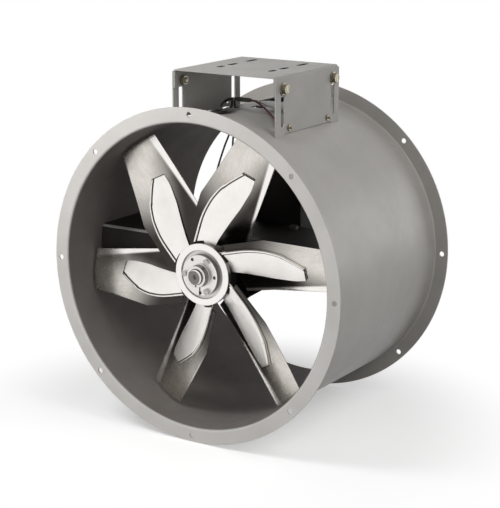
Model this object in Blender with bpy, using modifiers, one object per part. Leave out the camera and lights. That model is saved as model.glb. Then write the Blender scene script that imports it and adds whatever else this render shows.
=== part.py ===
"""A belt-driven tubeaxial duct fan without its motor.

A flanged drum carries a propeller on a shaft in two bearings, hung under a bearing support.
A motor base on top slides in slotted supports to tighten the belt, and grease lines lead outside.

Metres, +Z up. The fan's axis lies along Y and the propeller end faces -Y. The origin is on the
floor below the middle of the drum, which stands on the lowest flats of its two flanges.
"""

import math

import bmesh
import bpy
from mathutils import Matrix, Vector

# General fits
GAP = 0.0003
OVERRUN = 0.004
SEAM = 0.00001
SHARP_ANGLE = math.radians(32)
ROUND_SEGMENTS = 24
SMALL_SEGMENTS = 12
HEX_SIDES = 6

# Drum
DRUM_LENGTH = 0.457
DRUM_BORE_RADIUS = 0.311
DRUM_WALL = 0.0027
FLANGE_WIDTH = 0.0298
DRUM_BEND_RADIUS = 0.006
DRUM_BEND_STEPS = 2
DRUM_SEGMENTS = 72
FLANGE_HOLE_RADIUS = 0.0055
FLANGE_HOLE_EDGE = 0.014
FLANGE_HOLE_COUNT = 8
CABLE_SLOT_WIDTH = 0.029
CABLE_SLOT_LENGTH = 0.023
CABLE_SLOT_X = 0.0045
CABLE_SLOT_Y = 0.0155

DRUM_OUTER_RADIUS = DRUM_BORE_RADIUS + DRUM_WALL
FLANGE_RADIUS = DRUM_OUTER_RADIUS + FLANGE_WIDTH
DRUM_HALF_STEP = math.pi / DRUM_SEGMENTS
AXIS_Z = FLANGE_RADIUS * math.cos(DRUM_HALF_STEP)
DRUM_FRONT_Y = -DRUM_LENGTH / 2
DRUM_REAR_Y = DRUM_LENGTH / 2
BOLT_CIRCLE_RADIUS = FLANGE_RADIUS - FLANGE_HOLE_EDGE

# Shaft and its two keys
SHAFT_RADIUS = 0.0159
SHAFT_FRONT_INSET = 0.0125
SHAFT_CHAMFER = 0.0015
SHAFT_CENTRE_RADIUS = 0.0032
SHAFT_CENTRE_DEPTH = 0.006
SHAFT_REAR_CLEARANCE = 0.006
KEY_WIDTH = 0.0079
KEY_DEPTH = 0.004
KEY_RISE = 0.0036
KEY_END_GAP = 0.001

# Hub
HUB_DISC_RADIUS = 0.064
HUB_DISC_THICKNESS = 0.011
HUB_DISC_EDGE = 0.0015
HUB_FACE_INSET = 0.0395
HUB_RECESS_RADIUS = 0.050
HUB_RECESS_DEPTH = 0.006
HUB_BARREL_RADIUS = 0.055
HUB_LENGTH = 0.049
HUB_SEGMENTS = 30

# Split taper bushing and its screws
BUSHING_NOSE_RADIUS = 0.022
BUSHING_NOSE_LENGTH = 0.014
BUSHING_FLANGE_RADIUS = 0.042
BUSHING_FLANGE_THICKNESS = 0.0125
BUSHING_BARREL_RADIUS = 0.031
BUSHING_TAPER = 0.003
BUSHING_BARREL_LENGTH = 0.038
BUSHING_SLIT = 0.003
BUSHING_SCREW_COUNT = 3
BUSHING_SCREW_PHASE_SHARE = 0.5
BUSHING_SCREW_RADIUS = 0.0038
BUSHING_SCREW_CIRCLE = 0.0355
BUSHING_SCREW_HEAD_RADIUS = 0.0065
BUSHING_SCREW_HEAD_HEIGHT = 0.0055
BUSHING_SCREW_BITE = 0.012

# Blades: offsets across the blade are measured from its own radial line
BLADE_COUNT = 6
BLADE_PHASE = math.radians(10.5)
BLADE_THICKNESS = 0.0025
BLADE_TIP_GAP = 0.006
BLADE_ROOT_RADIUS = 0.078
BLADE_PLANE_SETBACK = 0.0375
BLADE_ROOT_LEAD = 0.0690
BLADE_ROOT_TRAIL = 0.0433
BLADE_TIP_LEAD = 0.0270
BLADE_TIP_TRAIL = 0.0560
BLADE_ROOT_PITCH = math.radians(31.0)
BLADE_TIP_PITCH = math.radians(15.5)
BLADE_CAMBER = 0.004
BLADE_ROWS = 8
BLADE_COLUMNS = 6

# Arms: each row is a share of the arm's length, then its two edges as shares of its width
ARM_TIP_RADIUS = 0.224
ARM_WIDTH = 0.060
ARM_THICKNESS = 0.004
ARM_SEAT_GAP = 0.0006
ARM_RIM_START = 0.020
ARM_COLUMNS = 4
ARM_EDGE_SHARES = (
    (0.00, 0.05, 0.73),
    (0.11, 0.05, 0.75),
    (0.36, -0.08, 0.77),
    (0.54, -0.22, 0.70),
    (0.64, -0.30, 0.61),
    (0.75, -0.37, 0.47),
    (0.88, -0.45, 0.22),
    (1.00, -0.45, -0.05),
)

# Pillow block bearings, hung under the bearing support
BEARING_FRONT_INSET = 0.1435
BEARING_REAR_INSET = 0.1685
BEARING_HEIGHT = 0.0476
BEARING_BASE_LENGTH = 0.167
BEARING_BASE_THICKNESS = 0.017
BEARING_WIDTH = 0.038
BEARING_DOME_RADIUS = 0.045
BEARING_BORE_RADIUS = 0.0275
BEARING_RUNNING_GAP = 0.0006
RING_REACH = 0.012
RING_END_RADIUS = 0.0245
BEARING_BOLT_SPACING = 0.127
BEARING_BOLT_RADIUS = 0.006
BEARING_BOLT_HEAD_RADIUS = 0.0105
BEARING_BOLT_HEAD_HEIGHT = 0.0075
GREASE_PORT_DEPTH = 0.006

# Bearing support: a plate across the drum with flanges turned down at its front and rear
SUPPORT_THICKNESS = 0.005
SUPPORT_FRONT_INSET = 0.1125
SUPPORT_REAR_INSET = 0.1365
SUPPORT_WING_DROP = 0.066
SUPPORT_WAIST_DROP = 0.073
SUPPORT_CENTRE_DROP = 0.111
SUPPORT_WAIST_X = 0.120
SUPPORT_CENTRE_X = 0.060
SUPPORT_SHAFT_CLEARANCE = 0.012

# Belt tunnel
TUNNEL_WALL = 0.002
TUNNEL_REAR_INSET = 0.0605
TUNNEL_LENGTH = 0.070
TUNNEL_HALF_WIDTH = 0.057
TUNNEL_DROP = 0.073
TUNNEL_SHAFT_CLEARANCE = 0.004

# Driven sheave
SHEAVE_RADIUS = 0.052
SHEAVE_RIM_WIDTH = 0.020
SHEAVE_HUB_RADIUS = 0.030
SHEAVE_HUB_LENGTH = 0.034
SHEAVE_GROOVE_DEPTH = 0.011
SHEAVE_GROOVE_TOP = 0.0135
SHEAVE_GROOVE_BOTTOM = 0.0065
SHEAVE_SEGMENTS = 24

# Motor base: a plate with two short sides turned down, which slides between the supports
BASE_CENTRE_X = 0.015
BASE_CENTRE_Y = -0.00875
BASE_WIDTH = 0.240
BASE_LENGTH = 0.2455
BASE_TOP_RISE = 0.400
BASE_THICKNESS = 0.003
BASE_SIDE_DEPTH = 0.038
BASE_BEND_RADIUS = 0.005
BASE_BEND_STEPS = 3
MOTOR_SLOT_SPACING = 0.124
MOTOR_SLOT_WIDTH = 0.011
MOTOR_SLOT_PLACES = ((0.078, 0.038), (0.006, 0.030), (-0.038, 0.024))
SLOT_END_STEPS = 6

# Supports of the motor base, which stand on the drum
MOUNT_THICKNESS = 0.003
MOUNT_TOP_DROP = 0.004
MOUNT_SLOT_EDGE = 0.026
MOUNT_SLOT_WIDTH = 0.014
MOUNT_SLOT_BOTTOM_RISE = 0.2995
MOUNT_SLOT_HEADROOM = 0.0085
MOUNT_FOOT_LENGTH = 0.033
MOUNT_FOOT_RELIEF = 0.003
MOUNT_CORNER_HOLE_RADIUS = 0.004
MOUNT_CORNER_HOLE_INSET = 0.048
MOUNT_CORNER_HOLE_RISE = 0.0135

# Bolts, washers and nuts that clamp the motor base
BASE_BOLT_DROP = 0.0245
BASE_BOLT_RADIUS = 0.006
BASE_BOLT_HEAD_RADIUS = 0.0105
BASE_BOLT_HEAD_HEIGHT = 0.0075
BASE_BOLT_END = 0.003
WASHER_RADIUS = 0.0125
WASHER_THICKNESS = 0.0025
NUT_HEIGHT = 0.009

# Grease lines
LINE_RADIUS = 0.0020
LOOM_RADIUS = 0.0030
LINE_BEVEL_RESOLUTION = 2
LINE_HOLE_RADIUS = 0.0045
LINE_HOLE_X = -0.070
LINE_HOLE_WAY_SHARE = 0.415
LINE_STEPS = 2
SLEEVE_RADIUS = 0.0046
SLEEVE_LENGTH = 0.034
SLEEVE_CAP_RADIUS = 0.0038
SLEEVE_CAP_LENGTH = 0.005
SLEEVE_X = -0.0205
SLEEVE_Y = 0.0
SLEEVE_RISE = 0.0145
GROMMET_X = -0.037
GROMMET_Y = -0.012
GROMMET_RADIUS = 0.0075
GROMMET_LIP_RADIUS = 0.0105
GROMMET_LIP_THICKNESS = 0.0025
NIPPLE_RADIUS = 0.0034
NIPPLE_COLLAR_RADIUS = 0.0058
NIPPLE_COLLAR_THICKNESS = 0.0028
NIPPLE_TIP_RADIUS = 0.0030
NIPPLE_TIP_LENGTH = 0.006
NIPPLE_INNER_LENGTH = 0.004

# Routes of the lines, chosen by hand, with heights counted from the fan's axis
LOOM_ROUTE = (
    (-0.0370, -0.0120, 0.3165),
    (-0.0370, -0.0125, 0.3225),
    (-0.0350, -0.0175, 0.3300),
    (-0.0305, -0.0265, 0.3330),
    (-0.0255, -0.0365, 0.3295),
    (-0.0200, -0.0460, 0.3225),
    (-0.0135, -0.0565, 0.3180),
    (-0.0060, -0.0720, 0.3172),
    (-0.0005, -0.0880, 0.3172),
    (-0.0010, -0.1020, 0.3172),
    (-0.0085, -0.1130, 0.3171),
    (-0.0215, -0.1150, 0.3165),
    (-0.0315, -0.1070, 0.3158),
    (-0.0345, -0.0930, 0.3155),
    (-0.0355, -0.0750, 0.3154),
    (-0.0410, -0.0560, 0.3148),
    (-0.0515, -0.0380, 0.3140),
    (-0.0610, -0.0220, 0.3165),
    (-0.0625, -0.0090, 0.3220),
    (-0.0550, -0.0010, 0.3270),
    (-0.0450, 0.0, 0.3282),
)
FRONT_OUTER_ROUTE = (
    (0.0080, -0.0030, 0.3276),
    (0.0240, -0.0070, 0.3218),
    (0.0420, -0.0150, 0.3150),
    (0.0600, -0.0280, 0.3106),
    (0.0800, -0.0460, 0.3062),
    (0.1000, -0.0670, 0.3012),
    (0.1150, -0.0800, 0.2976),
    (0.1240, -0.0835, 0.2966),
)
REAR_OUTER_ROUTE = (
    (0.0080, 0.0030, 0.3276),
    (0.0240, 0.0060, 0.3218),
    (0.0420, 0.0130, 0.3150),
    (0.0600, 0.0240, 0.3106),
    (0.0800, 0.0380, 0.3062),
    (0.1000, 0.0540, 0.3012),
    (0.1150, 0.0640, 0.2976),
    (0.1240, 0.0660, 0.2966),
)

# The inner lines: x, the share of the way along from the bearing to the grommet, and the height
INNER_ROUTE = (
    (-0.0480, 0.000, 0.0),
    (-0.0580, 0.007, 0.0010),
    (-0.0680, 0.096, 0.0080),
    (-0.0720, 0.290, 0.0220),
    (-0.0702, 0.407, 0.0380),
    (-0.0700, 0.415, 0.0470),
    (-0.0700, 0.415, 0.0590),
    (-0.0700, 0.420, 0.0800),
    (-0.0680, 0.470, 0.1300),
    (-0.0620, 0.600, 0.1800),
    (-0.0520, 0.780, 0.2300),
    (-0.0420, 0.920, 0.2680),
)
INNER_FOOT_RISE = 0.2950

# Heights and places that follow from the sizes above
SUPPORT_UNDERSIDE_Z = AXIS_Z + BEARING_HEIGHT + GAP
SUPPORT_TOP_Z = SUPPORT_UNDERSIDE_Z + SUPPORT_THICKNESS
SHAFT_FRONT_Y = DRUM_FRONT_Y + SHAFT_FRONT_INSET
HUB_FACE_Y = DRUM_FRONT_Y + HUB_FACE_INSET
BLADE_PLANE_Y = HUB_FACE_Y + BLADE_PLANE_SETBACK
BEARING_FRONT_Y = DRUM_FRONT_Y + BEARING_FRONT_INSET
BEARING_REAR_Y = DRUM_REAR_Y - BEARING_REAR_INSET
SUPPORT_FRONT_Y = DRUM_FRONT_Y + SUPPORT_FRONT_INSET
SUPPORT_REAR_Y = DRUM_REAR_Y - SUPPORT_REAR_INSET
SUPPORT_CENTRE_Y = (SUPPORT_FRONT_Y + SUPPORT_REAR_Y) / 2
TUNNEL_REAR_Y = DRUM_REAR_Y - TUNNEL_REAR_INSET
TUNNEL_FRONT_Y = TUNNEL_REAR_Y - TUNNEL_LENGTH
TUNNEL_CENTRE_Y = (TUNNEL_FRONT_Y + TUNNEL_REAR_Y) / 2
SHAFT_REAR_Y = TUNNEL_REAR_Y - TUNNEL_WALL - SHAFT_REAR_CLEARANCE
BUSHING_SEAT_Y = HUB_FACE_Y + HUB_RECESS_DEPTH - GAP
BUSHING_FACE_Y = BUSHING_SEAT_Y - BUSHING_FLANGE_THICKNESS
HUB_BORE_DEPTH = HUB_LENGTH - HUB_RECESS_DEPTH
HUB_BORE_REAR_RADIUS = BUSHING_BARREL_RADIUS + GAP - BUSHING_TAPER * HUB_BORE_DEPTH / BUSHING_BARREL_LENGTH
BLADE_TIP_RADIUS = DRUM_BORE_RADIUS - BLADE_TIP_GAP
ARM_LIFT = BLADE_THICKNESS / 2 + ARM_SEAT_GAP + ARM_THICKNESS / 2
BASE_TOP_Z = AXIS_Z + BASE_TOP_RISE
BASE_BOLT_Z = BASE_TOP_Z - BASE_BOLT_DROP
MOUNT_TOP_Z = BASE_TOP_Z - MOUNT_TOP_DROP
MOUNT_INNER_OFFSET = BASE_WIDTH / 2 + GAP
MOUNT_OUTER_OFFSET = MOUNT_INNER_OFFSET + MOUNT_THICKNESS
DRUM_TOP_Z = AXIS_Z + DRUM_OUTER_RADIUS
SLEEVE_Z = DRUM_TOP_Z + SLEEVE_RISE

UPRIGHT = Matrix.Identity(4)
TURN_Z_TO_Y = Matrix.Rotation(-math.pi / 2, 4, "X")
TURN_Z_TO_X = Matrix.Rotation(math.pi / 2, 4, "Y")
PLANE_XZ = Matrix.Rotation(math.pi / 2, 4, "X")
PLANE_YZ = Matrix(((0, 0, 1, 0), (1, 0, 0, 0), (0, 1, 0, 0), (0, 0, 0, 1)))

# Finish name to colour, roughness and metallic value
FINISHES = {
    "grey_paint": ((0.42, 0.41, 0.40, 1), 0.5, 0.2),
    "light_grey_paint": ((0.55, 0.54, 0.53, 1), 0.5, 0.2),
    "mill_aluminium": ((0.80, 0.80, 0.80, 1), 0.3, 1.0),
    "machined_steel": ((0.70, 0.70, 0.69, 1), 0.25, 1.0),
    "zinc_plate": ((0.66, 0.66, 0.62, 1), 0.35, 1.0),
    "cast_iron": ((0.14, 0.16, 0.17, 1), 0.6, 0.5),
    "black_nylon": ((0.03, 0.03, 0.03, 1), 0.45, 0.0),
    "red_nylon": ((0.30, 0.05, 0.05, 1), 0.45, 0.0),
    "natural_nylon": ((0.80, 0.77, 0.72, 1), 0.4, 0.0),
    "grey_rubber": ((0.16, 0.16, 0.15, 1), 0.7, 0.0),
}


def clear_scene():
    """Removes every object that the file opened with."""
    for obj in list(bpy.data.objects):
        bpy.data.objects.remove(obj, do_unlink=True)


def add_collection(name, hidden=False):
    collection = bpy.data.collections.new(name)
    collection.hide_render = hidden
    bpy.context.scene.collection.children.link(collection)
    return collection


def make_materials():
    """Gives one Principled material for each finish."""
    made = {}
    for name, (colour, roughness, metallic) in FINISHES.items():
        material = bpy.data.materials.new(name)
        material.use_nodes = True
        shader = material.node_tree.nodes["Principled BSDF"]
        shader.inputs["Base Color"].default_value = colour
        shader.inputs["Roughness"].default_value = roughness
        shader.inputs["Metallic"].default_value = metallic
        made[name] = material
    return made


clear_scene()
PARTS = add_collection("tubeaxial_fan")
CUTTERS = add_collection("cutters", hidden=True)
MATERIALS = make_materials()


def add_axis(name, place):
    """An empty on a joint's axis, which carries what that joint moves."""
    empty = bpy.data.objects.new(name, None)
    empty.location = place
    PARTS.objects.link(empty)
    return empty


def carry(parent, obj):
    """Parents a piece and keeps it where it is."""
    bpy.context.view_layer.update()
    world = obj.matrix_world.copy()
    obj.parent = parent
    obj.matrix_world = world


def finish(obj, material_name):
    """Puts a piece in the fan's collection with its material and its shading."""
    PARTS.objects.link(obj)
    obj.data.materials.append(MATERIALS[material_name])
    if obj.type == "MESH":
        obj.data.shade_smooth()
        obj.data.set_sharp_from_angle(angle=SHARP_ANGLE)
    return obj


def as_cutter(obj):
    CUTTERS.objects.link(obj)
    obj.hide_render = True
    obj.display_type = "WIRE"
    return obj


def mesh_object(name, shape):
    """Turns a bmesh into an object and frees the bmesh."""
    mesh = bpy.data.meshes.new(name)
    shape.to_mesh(mesh)
    shape.free()
    return bpy.data.objects.new(name, mesh)


def box(name, low, high):
    """A block between two corners."""
    low, high = Vector(low), Vector(high)
    shape = bmesh.new()
    bmesh.ops.create_cube(shape, size=1)
    bmesh.ops.scale(shape, vec=high - low, verts=shape.verts)
    bmesh.ops.translate(shape, vec=(low + high) / 2, verts=shape.verts)
    return mesh_object(name, shape)


def rod(name, radius, length, turn, centre, segments=ROUND_SEGMENTS):
    """A cylinder of one radius, its axis turned from Z and its middle at the centre."""
    shape = bmesh.new()
    bmesh.ops.create_cone(
        shape,
        cap_ends=True,
        segments=segments,
        radius1=radius,
        radius2=radius,
        depth=length,
        matrix=Matrix.Translation(centre) @ turn,
    )
    return mesh_object(name, shape)


def rods(name, radius, length, turn, centres, segments=ROUND_SEGMENTS):
    """Equal cylinders in one mesh, for cutting a row of holes at once."""
    shape = bmesh.new()
    for centre in centres:
        bmesh.ops.create_cone(
            shape,
            cap_ends=True,
            segments=segments,
            radius1=radius,
            radius2=radius,
            depth=length,
            matrix=Matrix.Translation(centre) @ turn,
        )
    return mesh_object(name, shape)


def turned(name, profile, turn, centre, segments, closed=False, phase=0.0):
    """A profile of (radius, height) points, from the top down its outer side, spun round the axis."""
    shape = bmesh.new()
    across = Vector((math.cos(phase), math.sin(phase), 0))
    points = [shape.verts.new(across * radius + Vector((0, 0, height))) for radius, height in profile]
    for first, second in zip(points, points[1:]):
        shape.edges.new((first, second))
    if closed:
        shape.edges.new((points[-1], points[0]))
    obj = mesh_object(name, shape)
    obj.matrix_world = Matrix.Translation(centre) @ turn
    screw = obj.modifiers.new("turn", "SCREW")
    screw.steps = segments
    screw.render_steps = segments
    screw.use_merge_vertices = True
    screw.merge_threshold = SEAM
    screw.use_smooth_shade = True
    return obj


def flat_piece(name, outlines, thickness, plane, centre):
    """A plate from closed outlines, the first its edge and the rest its openings."""
    curve = bpy.data.curves.new(name, "CURVE")
    curve.dimensions = "2D"
    curve.fill_mode = "BOTH"
    curve.extrude = thickness / 2
    for outline in outlines:
        spline = curve.splines.new("POLY")
        spline.points.add(len(outline) - 1)
        for point, (across, along) in zip(spline.points, outline):
            point.co = (across, along, 0, 1)
        spline.use_cyclic_u = True
    obj = bpy.data.objects.new(name, curve)
    obj.matrix_world = Matrix.Translation(centre) @ plane
    return obj


def meshed(obj):
    """Makes a mesh of a curve piece, so that it can be cut."""
    bpy.context.scene.collection.objects.link(obj)
    bpy.context.view_layer.update()
    graph = bpy.context.evaluated_depsgraph_get()
    mesh = bpy.data.meshes.new_from_object(obj.evaluated_get(graph))
    shape = bmesh.new()
    shape.from_mesh(mesh)
    bmesh.ops.remove_doubles(shape, verts=shape.verts, dist=SEAM)
    shape.to_mesh(mesh)
    shape.free()
    name, world = obj.name, obj.matrix_world.copy()
    bpy.data.objects.remove(obj, do_unlink=True)
    result = bpy.data.objects.new(name, mesh)
    result.matrix_world = world
    return result


def combine(obj, tool, operation="DIFFERENCE"):
    """Adds a Boolean with a helper that the render leaves out."""
    modifier = obj.modifiers.new(tool.name, "BOOLEAN")
    modifier.operation = operation
    modifier.solver = "EXACT"
    modifier.object = tool
    return obj


def tube(name, points, radius):
    """A round line through the points of a smooth route."""
    curve = bpy.data.curves.new(name, "CURVE")
    curve.dimensions = "3D"
    curve.bevel_depth = radius
    curve.bevel_resolution = LINE_BEVEL_RESOLUTION
    curve.use_fill_caps = True
    spline = curve.splines.new("POLY")
    spline.points.add(len(points) - 1)
    for point, place in zip(spline.points, points):
        point.co = (*place, 1)
    return bpy.data.objects.new(name, curve)


def smooth_route(knots, steps):
    """Points along a cubic curve through the knots, its direction weighted by the knots' spacing."""
    knots = [Vector(knot) for knot in knots]
    spans = [end - start for start, end in zip(knots, knots[1:])]
    directions = [spans[0].normalized()]
    for before, after in zip(spans, spans[1:]):
        slow, fast = before.length, after.length
        directions.append((before * fast / slow + after * slow / fast) / (slow + fast))
    directions.append(spans[-1].normalized())
    points = []
    for index, span in enumerate(spans):
        leave = directions[index] * span.length
        arrive = directions[index + 1] * span.length
        for step in range(steps):
            t = step / steps
            bend = (t**3 - 2 * t**2 + t) * leave + (t**3 - t**2) * arrive
            points.append(knots[index] + (3 * t**2 - 2 * t**3) * span + bend)
    points.append(knots[-1])
    return points


def arc(centre_x, centre_y, radius, start, end, steps):
    """Points along an arc, both ends included."""
    return [
        (
            centre_x + radius * math.cos(start + (end - start) * step / steps),
            centre_y + radius * math.sin(start + (end - start) * step / steps),
        )
        for step in range(steps + 1)
    ]


def slot_outline(centre_x, centre_y, width, height):
    """A slot with round ends whose long side is the second axis."""
    radius = width / 2
    reach = height / 2 - radius
    upper = arc(centre_x, centre_y + reach, radius, 0, math.pi, SLOT_END_STEPS)
    lower = arc(centre_x, centre_y - reach, radius, math.pi, 2 * math.pi, SLOT_END_STEPS)
    return upper + lower


def round_outline(centre_x, centre_y, radius, segments=SMALL_SEGMENTS):
    step = 2 * math.pi / segments
    return arc(centre_x, centre_y, radius, 0, 2 * math.pi - step, segments - 1)


def on_circle(radius, angle, y):
    """A point round the fan's axis, with the angle counted from +X towards +Z."""
    return Vector((radius * math.cos(angle), y, AXIS_Z + radius * math.sin(angle)))


def drum_plug(name, radius):
    """A cylinder whose flats lie parallel to those of the drum."""
    length = DRUM_LENGTH + 2 * OVERRUN
    turn = TURN_Z_TO_Y @ Matrix.Rotation(DRUM_HALF_STEP, 4, "Z")
    return as_cutter(rod(name, radius, length, turn, (0, 0, AXIS_Z), DRUM_SEGMENTS))


BORE_PLUG = drum_plug("bore_plug", DRUM_BORE_RADIUS - GAP)
DRUM_PLUG = drum_plug("drum_plug", DRUM_OUTER_RADIUS + GAP)


def drum_profile():
    """Wall and both flanges, bent from one sheet: outer side first, then the bore side back up."""
    half = DRUM_LENGTH / 2
    inner, outer = DRUM_BORE_RADIUS, DRUM_OUTER_RADIUS
    bend = DRUM_BEND_RADIUS
    tight = bend - DRUM_WALL
    top_outside = arc(inner + bend, half - bend, tight, math.pi / 2, math.pi, DRUM_BEND_STEPS)
    low_outside = [(radius, -height) for radius, height in reversed(top_outside)]
    low_inside = arc(inner + bend, bend - half, bend, -math.pi / 2, -math.pi, DRUM_BEND_STEPS)
    top_inside = [(radius, -height) for radius, height in reversed(low_inside)]
    return [
        (FLANGE_RADIUS, half),
        (FLANGE_RADIUS, half - DRUM_WALL),
        *top_outside,
        *low_outside,
        (FLANGE_RADIUS, DRUM_WALL - half),
        (FLANGE_RADIUS, -half),
        *low_inside,
        *top_inside,
    ]


def build_drum():
    drum = turned(
        "housing_drum",
        drum_profile(),
        TURN_Z_TO_Y,
        (0, 0, AXIS_Z),
        DRUM_SEGMENTS,
        closed=True,
        phase=DRUM_HALF_STEP,
    )
    angles = [2 * math.pi * index / FLANGE_HOLE_COUNT for index in range(FLANGE_HOLE_COUNT)]
    holes = rods(
        "flange_holes",
        FLANGE_HOLE_RADIUS,
        DRUM_LENGTH + 2 * OVERRUN,
        TURN_Z_TO_Y,
        [on_circle(BOLT_CIRCLE_RADIUS, angle, 0) for angle in angles],
        SMALL_SEGMENTS,
    )
    inner_half = TUNNEL_HALF_WIDTH - TUNNEL_WALL
    belt_way = box(
        "belt_opening",
        (-inner_half, TUNNEL_FRONT_Y + TUNNEL_WALL, AXIS_Z),
        (inner_half, TUNNEL_REAR_Y - TUNNEL_WALL, DRUM_TOP_Z + OVERRUN),
    )
    slot_reach = Vector((CABLE_SLOT_WIDTH / 2, CABLE_SLOT_LENGTH / 2, 0))
    slot_centre = Vector((CABLE_SLOT_X, CABLE_SLOT_Y, 0))
    cable_slot = box(
        "cable_slot",
        slot_centre - slot_reach + Vector((0, 0, AXIS_Z)),
        slot_centre + slot_reach + Vector((0, 0, DRUM_TOP_Z + OVERRUN)),
    )
    grommet_hole = rod(
        "grommet_hole",
        GROMMET_RADIUS + GAP,
        DRUM_OUTER_RADIUS,
        UPRIGHT,
        (GROMMET_X, GROMMET_Y, DRUM_TOP_Z),
        SMALL_SEGMENTS,
    )
    for tool in (holes, belt_way, cable_slot, grommet_hole):
        combine(drum, as_cutter(tool))
    return finish(drum, "grey_paint")


def support_section():
    """The bearing support's channel section, as (y, z) seen along X."""
    sheet = SUPPORT_THICKNESS
    bottom = SUPPORT_TOP_Z - SUPPORT_CENTRE_DROP
    front, rear = SUPPORT_FRONT_Y, SUPPORT_REAR_Y
    return [
        (front, bottom),
        (front + sheet, bottom),
        (front + sheet, SUPPORT_UNDERSIDE_Z),
        (rear - sheet, SUPPORT_UNDERSIDE_Z),
        (rear - sheet, bottom),
        (rear, bottom),
        (rear, SUPPORT_TOP_Z),
        (front, SUPPORT_TOP_Z),
    ]


def support_trim():
    """What the flanges lose below, as (x, z): shallow at the drum and deep round the shaft."""
    reach = DRUM_BORE_RADIUS + OVERRUN
    floor = SUPPORT_TOP_Z - SUPPORT_CENTRE_DROP - OVERRUN
    wing = SUPPORT_TOP_Z - SUPPORT_WING_DROP
    waist = SUPPORT_TOP_Z - SUPPORT_WAIST_DROP
    side = [
        (SUPPORT_CENTRE_X, floor),
        (SUPPORT_CENTRE_X, floor + OVERRUN),
        (SUPPORT_WAIST_X, waist),
        (reach, wing),
        (reach, floor),
    ]
    return side, [(-across, height) for across, height in reversed(side)]


def on_the_way(bearing_y, share):
    """How far along the fan an inner grease line is, at a share of its way to the grommet."""
    return bearing_y + (GROMMET_Y - bearing_y) * share


def line_hole_places():
    """Where the two grease lines pass through the bearing support."""
    return [
        Vector((LINE_HOLE_X, on_the_way(BEARING_FRONT_Y, LINE_HOLE_WAY_SHARE), SUPPORT_TOP_Z)),
        Vector((LINE_HOLE_X, on_the_way(BEARING_REAR_Y, LINE_HOLE_WAY_SHARE), SUPPORT_TOP_Z)),
    ]


def bearing_bolt_places():
    return [
        Vector((side * BEARING_BOLT_SPACING / 2, y, SUPPORT_TOP_Z))
        for y in (BEARING_FRONT_Y, BEARING_REAR_Y)
        for side in (-1, 1)
    ]


def build_bearing_support():
    length = 2 * (DRUM_BORE_RADIUS + OVERRUN)
    support = meshed(flat_piece("bearing_support", [support_section()], length, PLANE_YZ, (0, 0, 0)))
    combine(support, BORE_PLUG, "INTERSECT")
    depth = SUPPORT_REAR_Y - SUPPORT_FRONT_Y + 2 * OVERRUN
    middle = (0, SUPPORT_CENTRE_Y, 0)
    for index, outline in enumerate(support_trim()):
        trim = flat_piece(f"support_trim_{index + 1}", [outline], depth, PLANE_XZ, middle)
        combine(support, as_cutter(meshed(trim)))
    shaft_way = rod(
        "support_shaft_way",
        SHAFT_RADIUS + SUPPORT_SHAFT_CLEARANCE,
        SUPPORT_REAR_Y - SUPPORT_FRONT_Y + 2 * OVERRUN,
        TURN_Z_TO_Y,
        (0, SUPPORT_CENTRE_Y, AXIS_Z),
    )
    bolt_holes = rods(
        "support_bolt_holes",
        BEARING_BOLT_RADIUS + GAP,
        2 * (SUPPORT_THICKNESS + OVERRUN),
        UPRIGHT,
        bearing_bolt_places(),
        SMALL_SEGMENTS,
    )
    line_holes = rods(
        "support_line_holes",
        LINE_HOLE_RADIUS,
        2 * (SUPPORT_THICKNESS + OVERRUN),
        UPRIGHT,
        line_hole_places(),
        SMALL_SEGMENTS,
    )
    for tool in (shaft_way, bolt_holes, line_holes):
        combine(support, as_cutter(tool))
    return finish(support, "grey_paint")


def build_belt_tunnel():
    low_z = AXIS_Z - TUNNEL_DROP
    tunnel = box(
        "belt_tunnel",
        (-TUNNEL_HALF_WIDTH, TUNNEL_FRONT_Y, low_z),
        (TUNNEL_HALF_WIDTH, TUNNEL_REAR_Y, DRUM_TOP_Z),
    )
    inner_half = TUNNEL_HALF_WIDTH - TUNNEL_WALL
    hollow = box(
        "tunnel_hollow",
        (-inner_half, TUNNEL_FRONT_Y + TUNNEL_WALL, low_z + TUNNEL_WALL),
        (inner_half, TUNNEL_REAR_Y - TUNNEL_WALL, DRUM_TOP_Z + OVERRUN),
    )
    shaft_way = rod(
        "tunnel_shaft_way",
        SHAFT_RADIUS + TUNNEL_SHAFT_CLEARANCE,
        2 * (TUNNEL_WALL + OVERRUN),
        TURN_Z_TO_Y,
        (0, TUNNEL_FRONT_Y, AXIS_Z),
    )
    combine(tunnel, BORE_PLUG, "INTERSECT")
    combine(tunnel, as_cutter(hollow))
    combine(tunnel, as_cutter(shaft_way))
    return finish(tunnel, "grey_paint")


def mount_outline(side, inner_x):
    """A motor base support in (y, z): a plate whose two feet run down into the drum."""
    front = BASE_CENTRE_Y - BASE_LENGTH / 2
    rear = BASE_CENTRE_Y + BASE_LENGTH / 2
    seat = AXIS_Z + math.sqrt(DRUM_OUTER_RADIUS**2 - inner_x**2)
    relief = seat + GAP + MOUNT_FOOT_RELIEF
    sunk = seat - MOUNT_THICKNESS - OVERRUN
    plate = [
        (front, sunk),
        (front + MOUNT_FOOT_LENGTH, sunk),
        (front + MOUNT_FOOT_LENGTH, relief),
        (rear - MOUNT_FOOT_LENGTH, relief),
        (rear - MOUNT_FOOT_LENGTH, sunk),
        (rear, sunk),
        (rear, MOUNT_TOP_Z),
        (front, MOUNT_TOP_Z),
    ]
    slot_top = BASE_BOLT_Z + MOUNT_SLOT_HEADROOM
    slot_bottom = AXIS_Z + MOUNT_SLOT_BOTTOM_RISE
    slots = [
        slot_outline(y, (slot_top + slot_bottom) / 2, MOUNT_SLOT_WIDTH, slot_top - slot_bottom)
        for y in base_bolt_stations()
    ]
    corners = [
        round_outline(y, mount_hole_z(side), MOUNT_CORNER_HOLE_RADIUS) for y in mount_hole_stations()
    ]
    return [plate, *slots, *corners]


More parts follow.
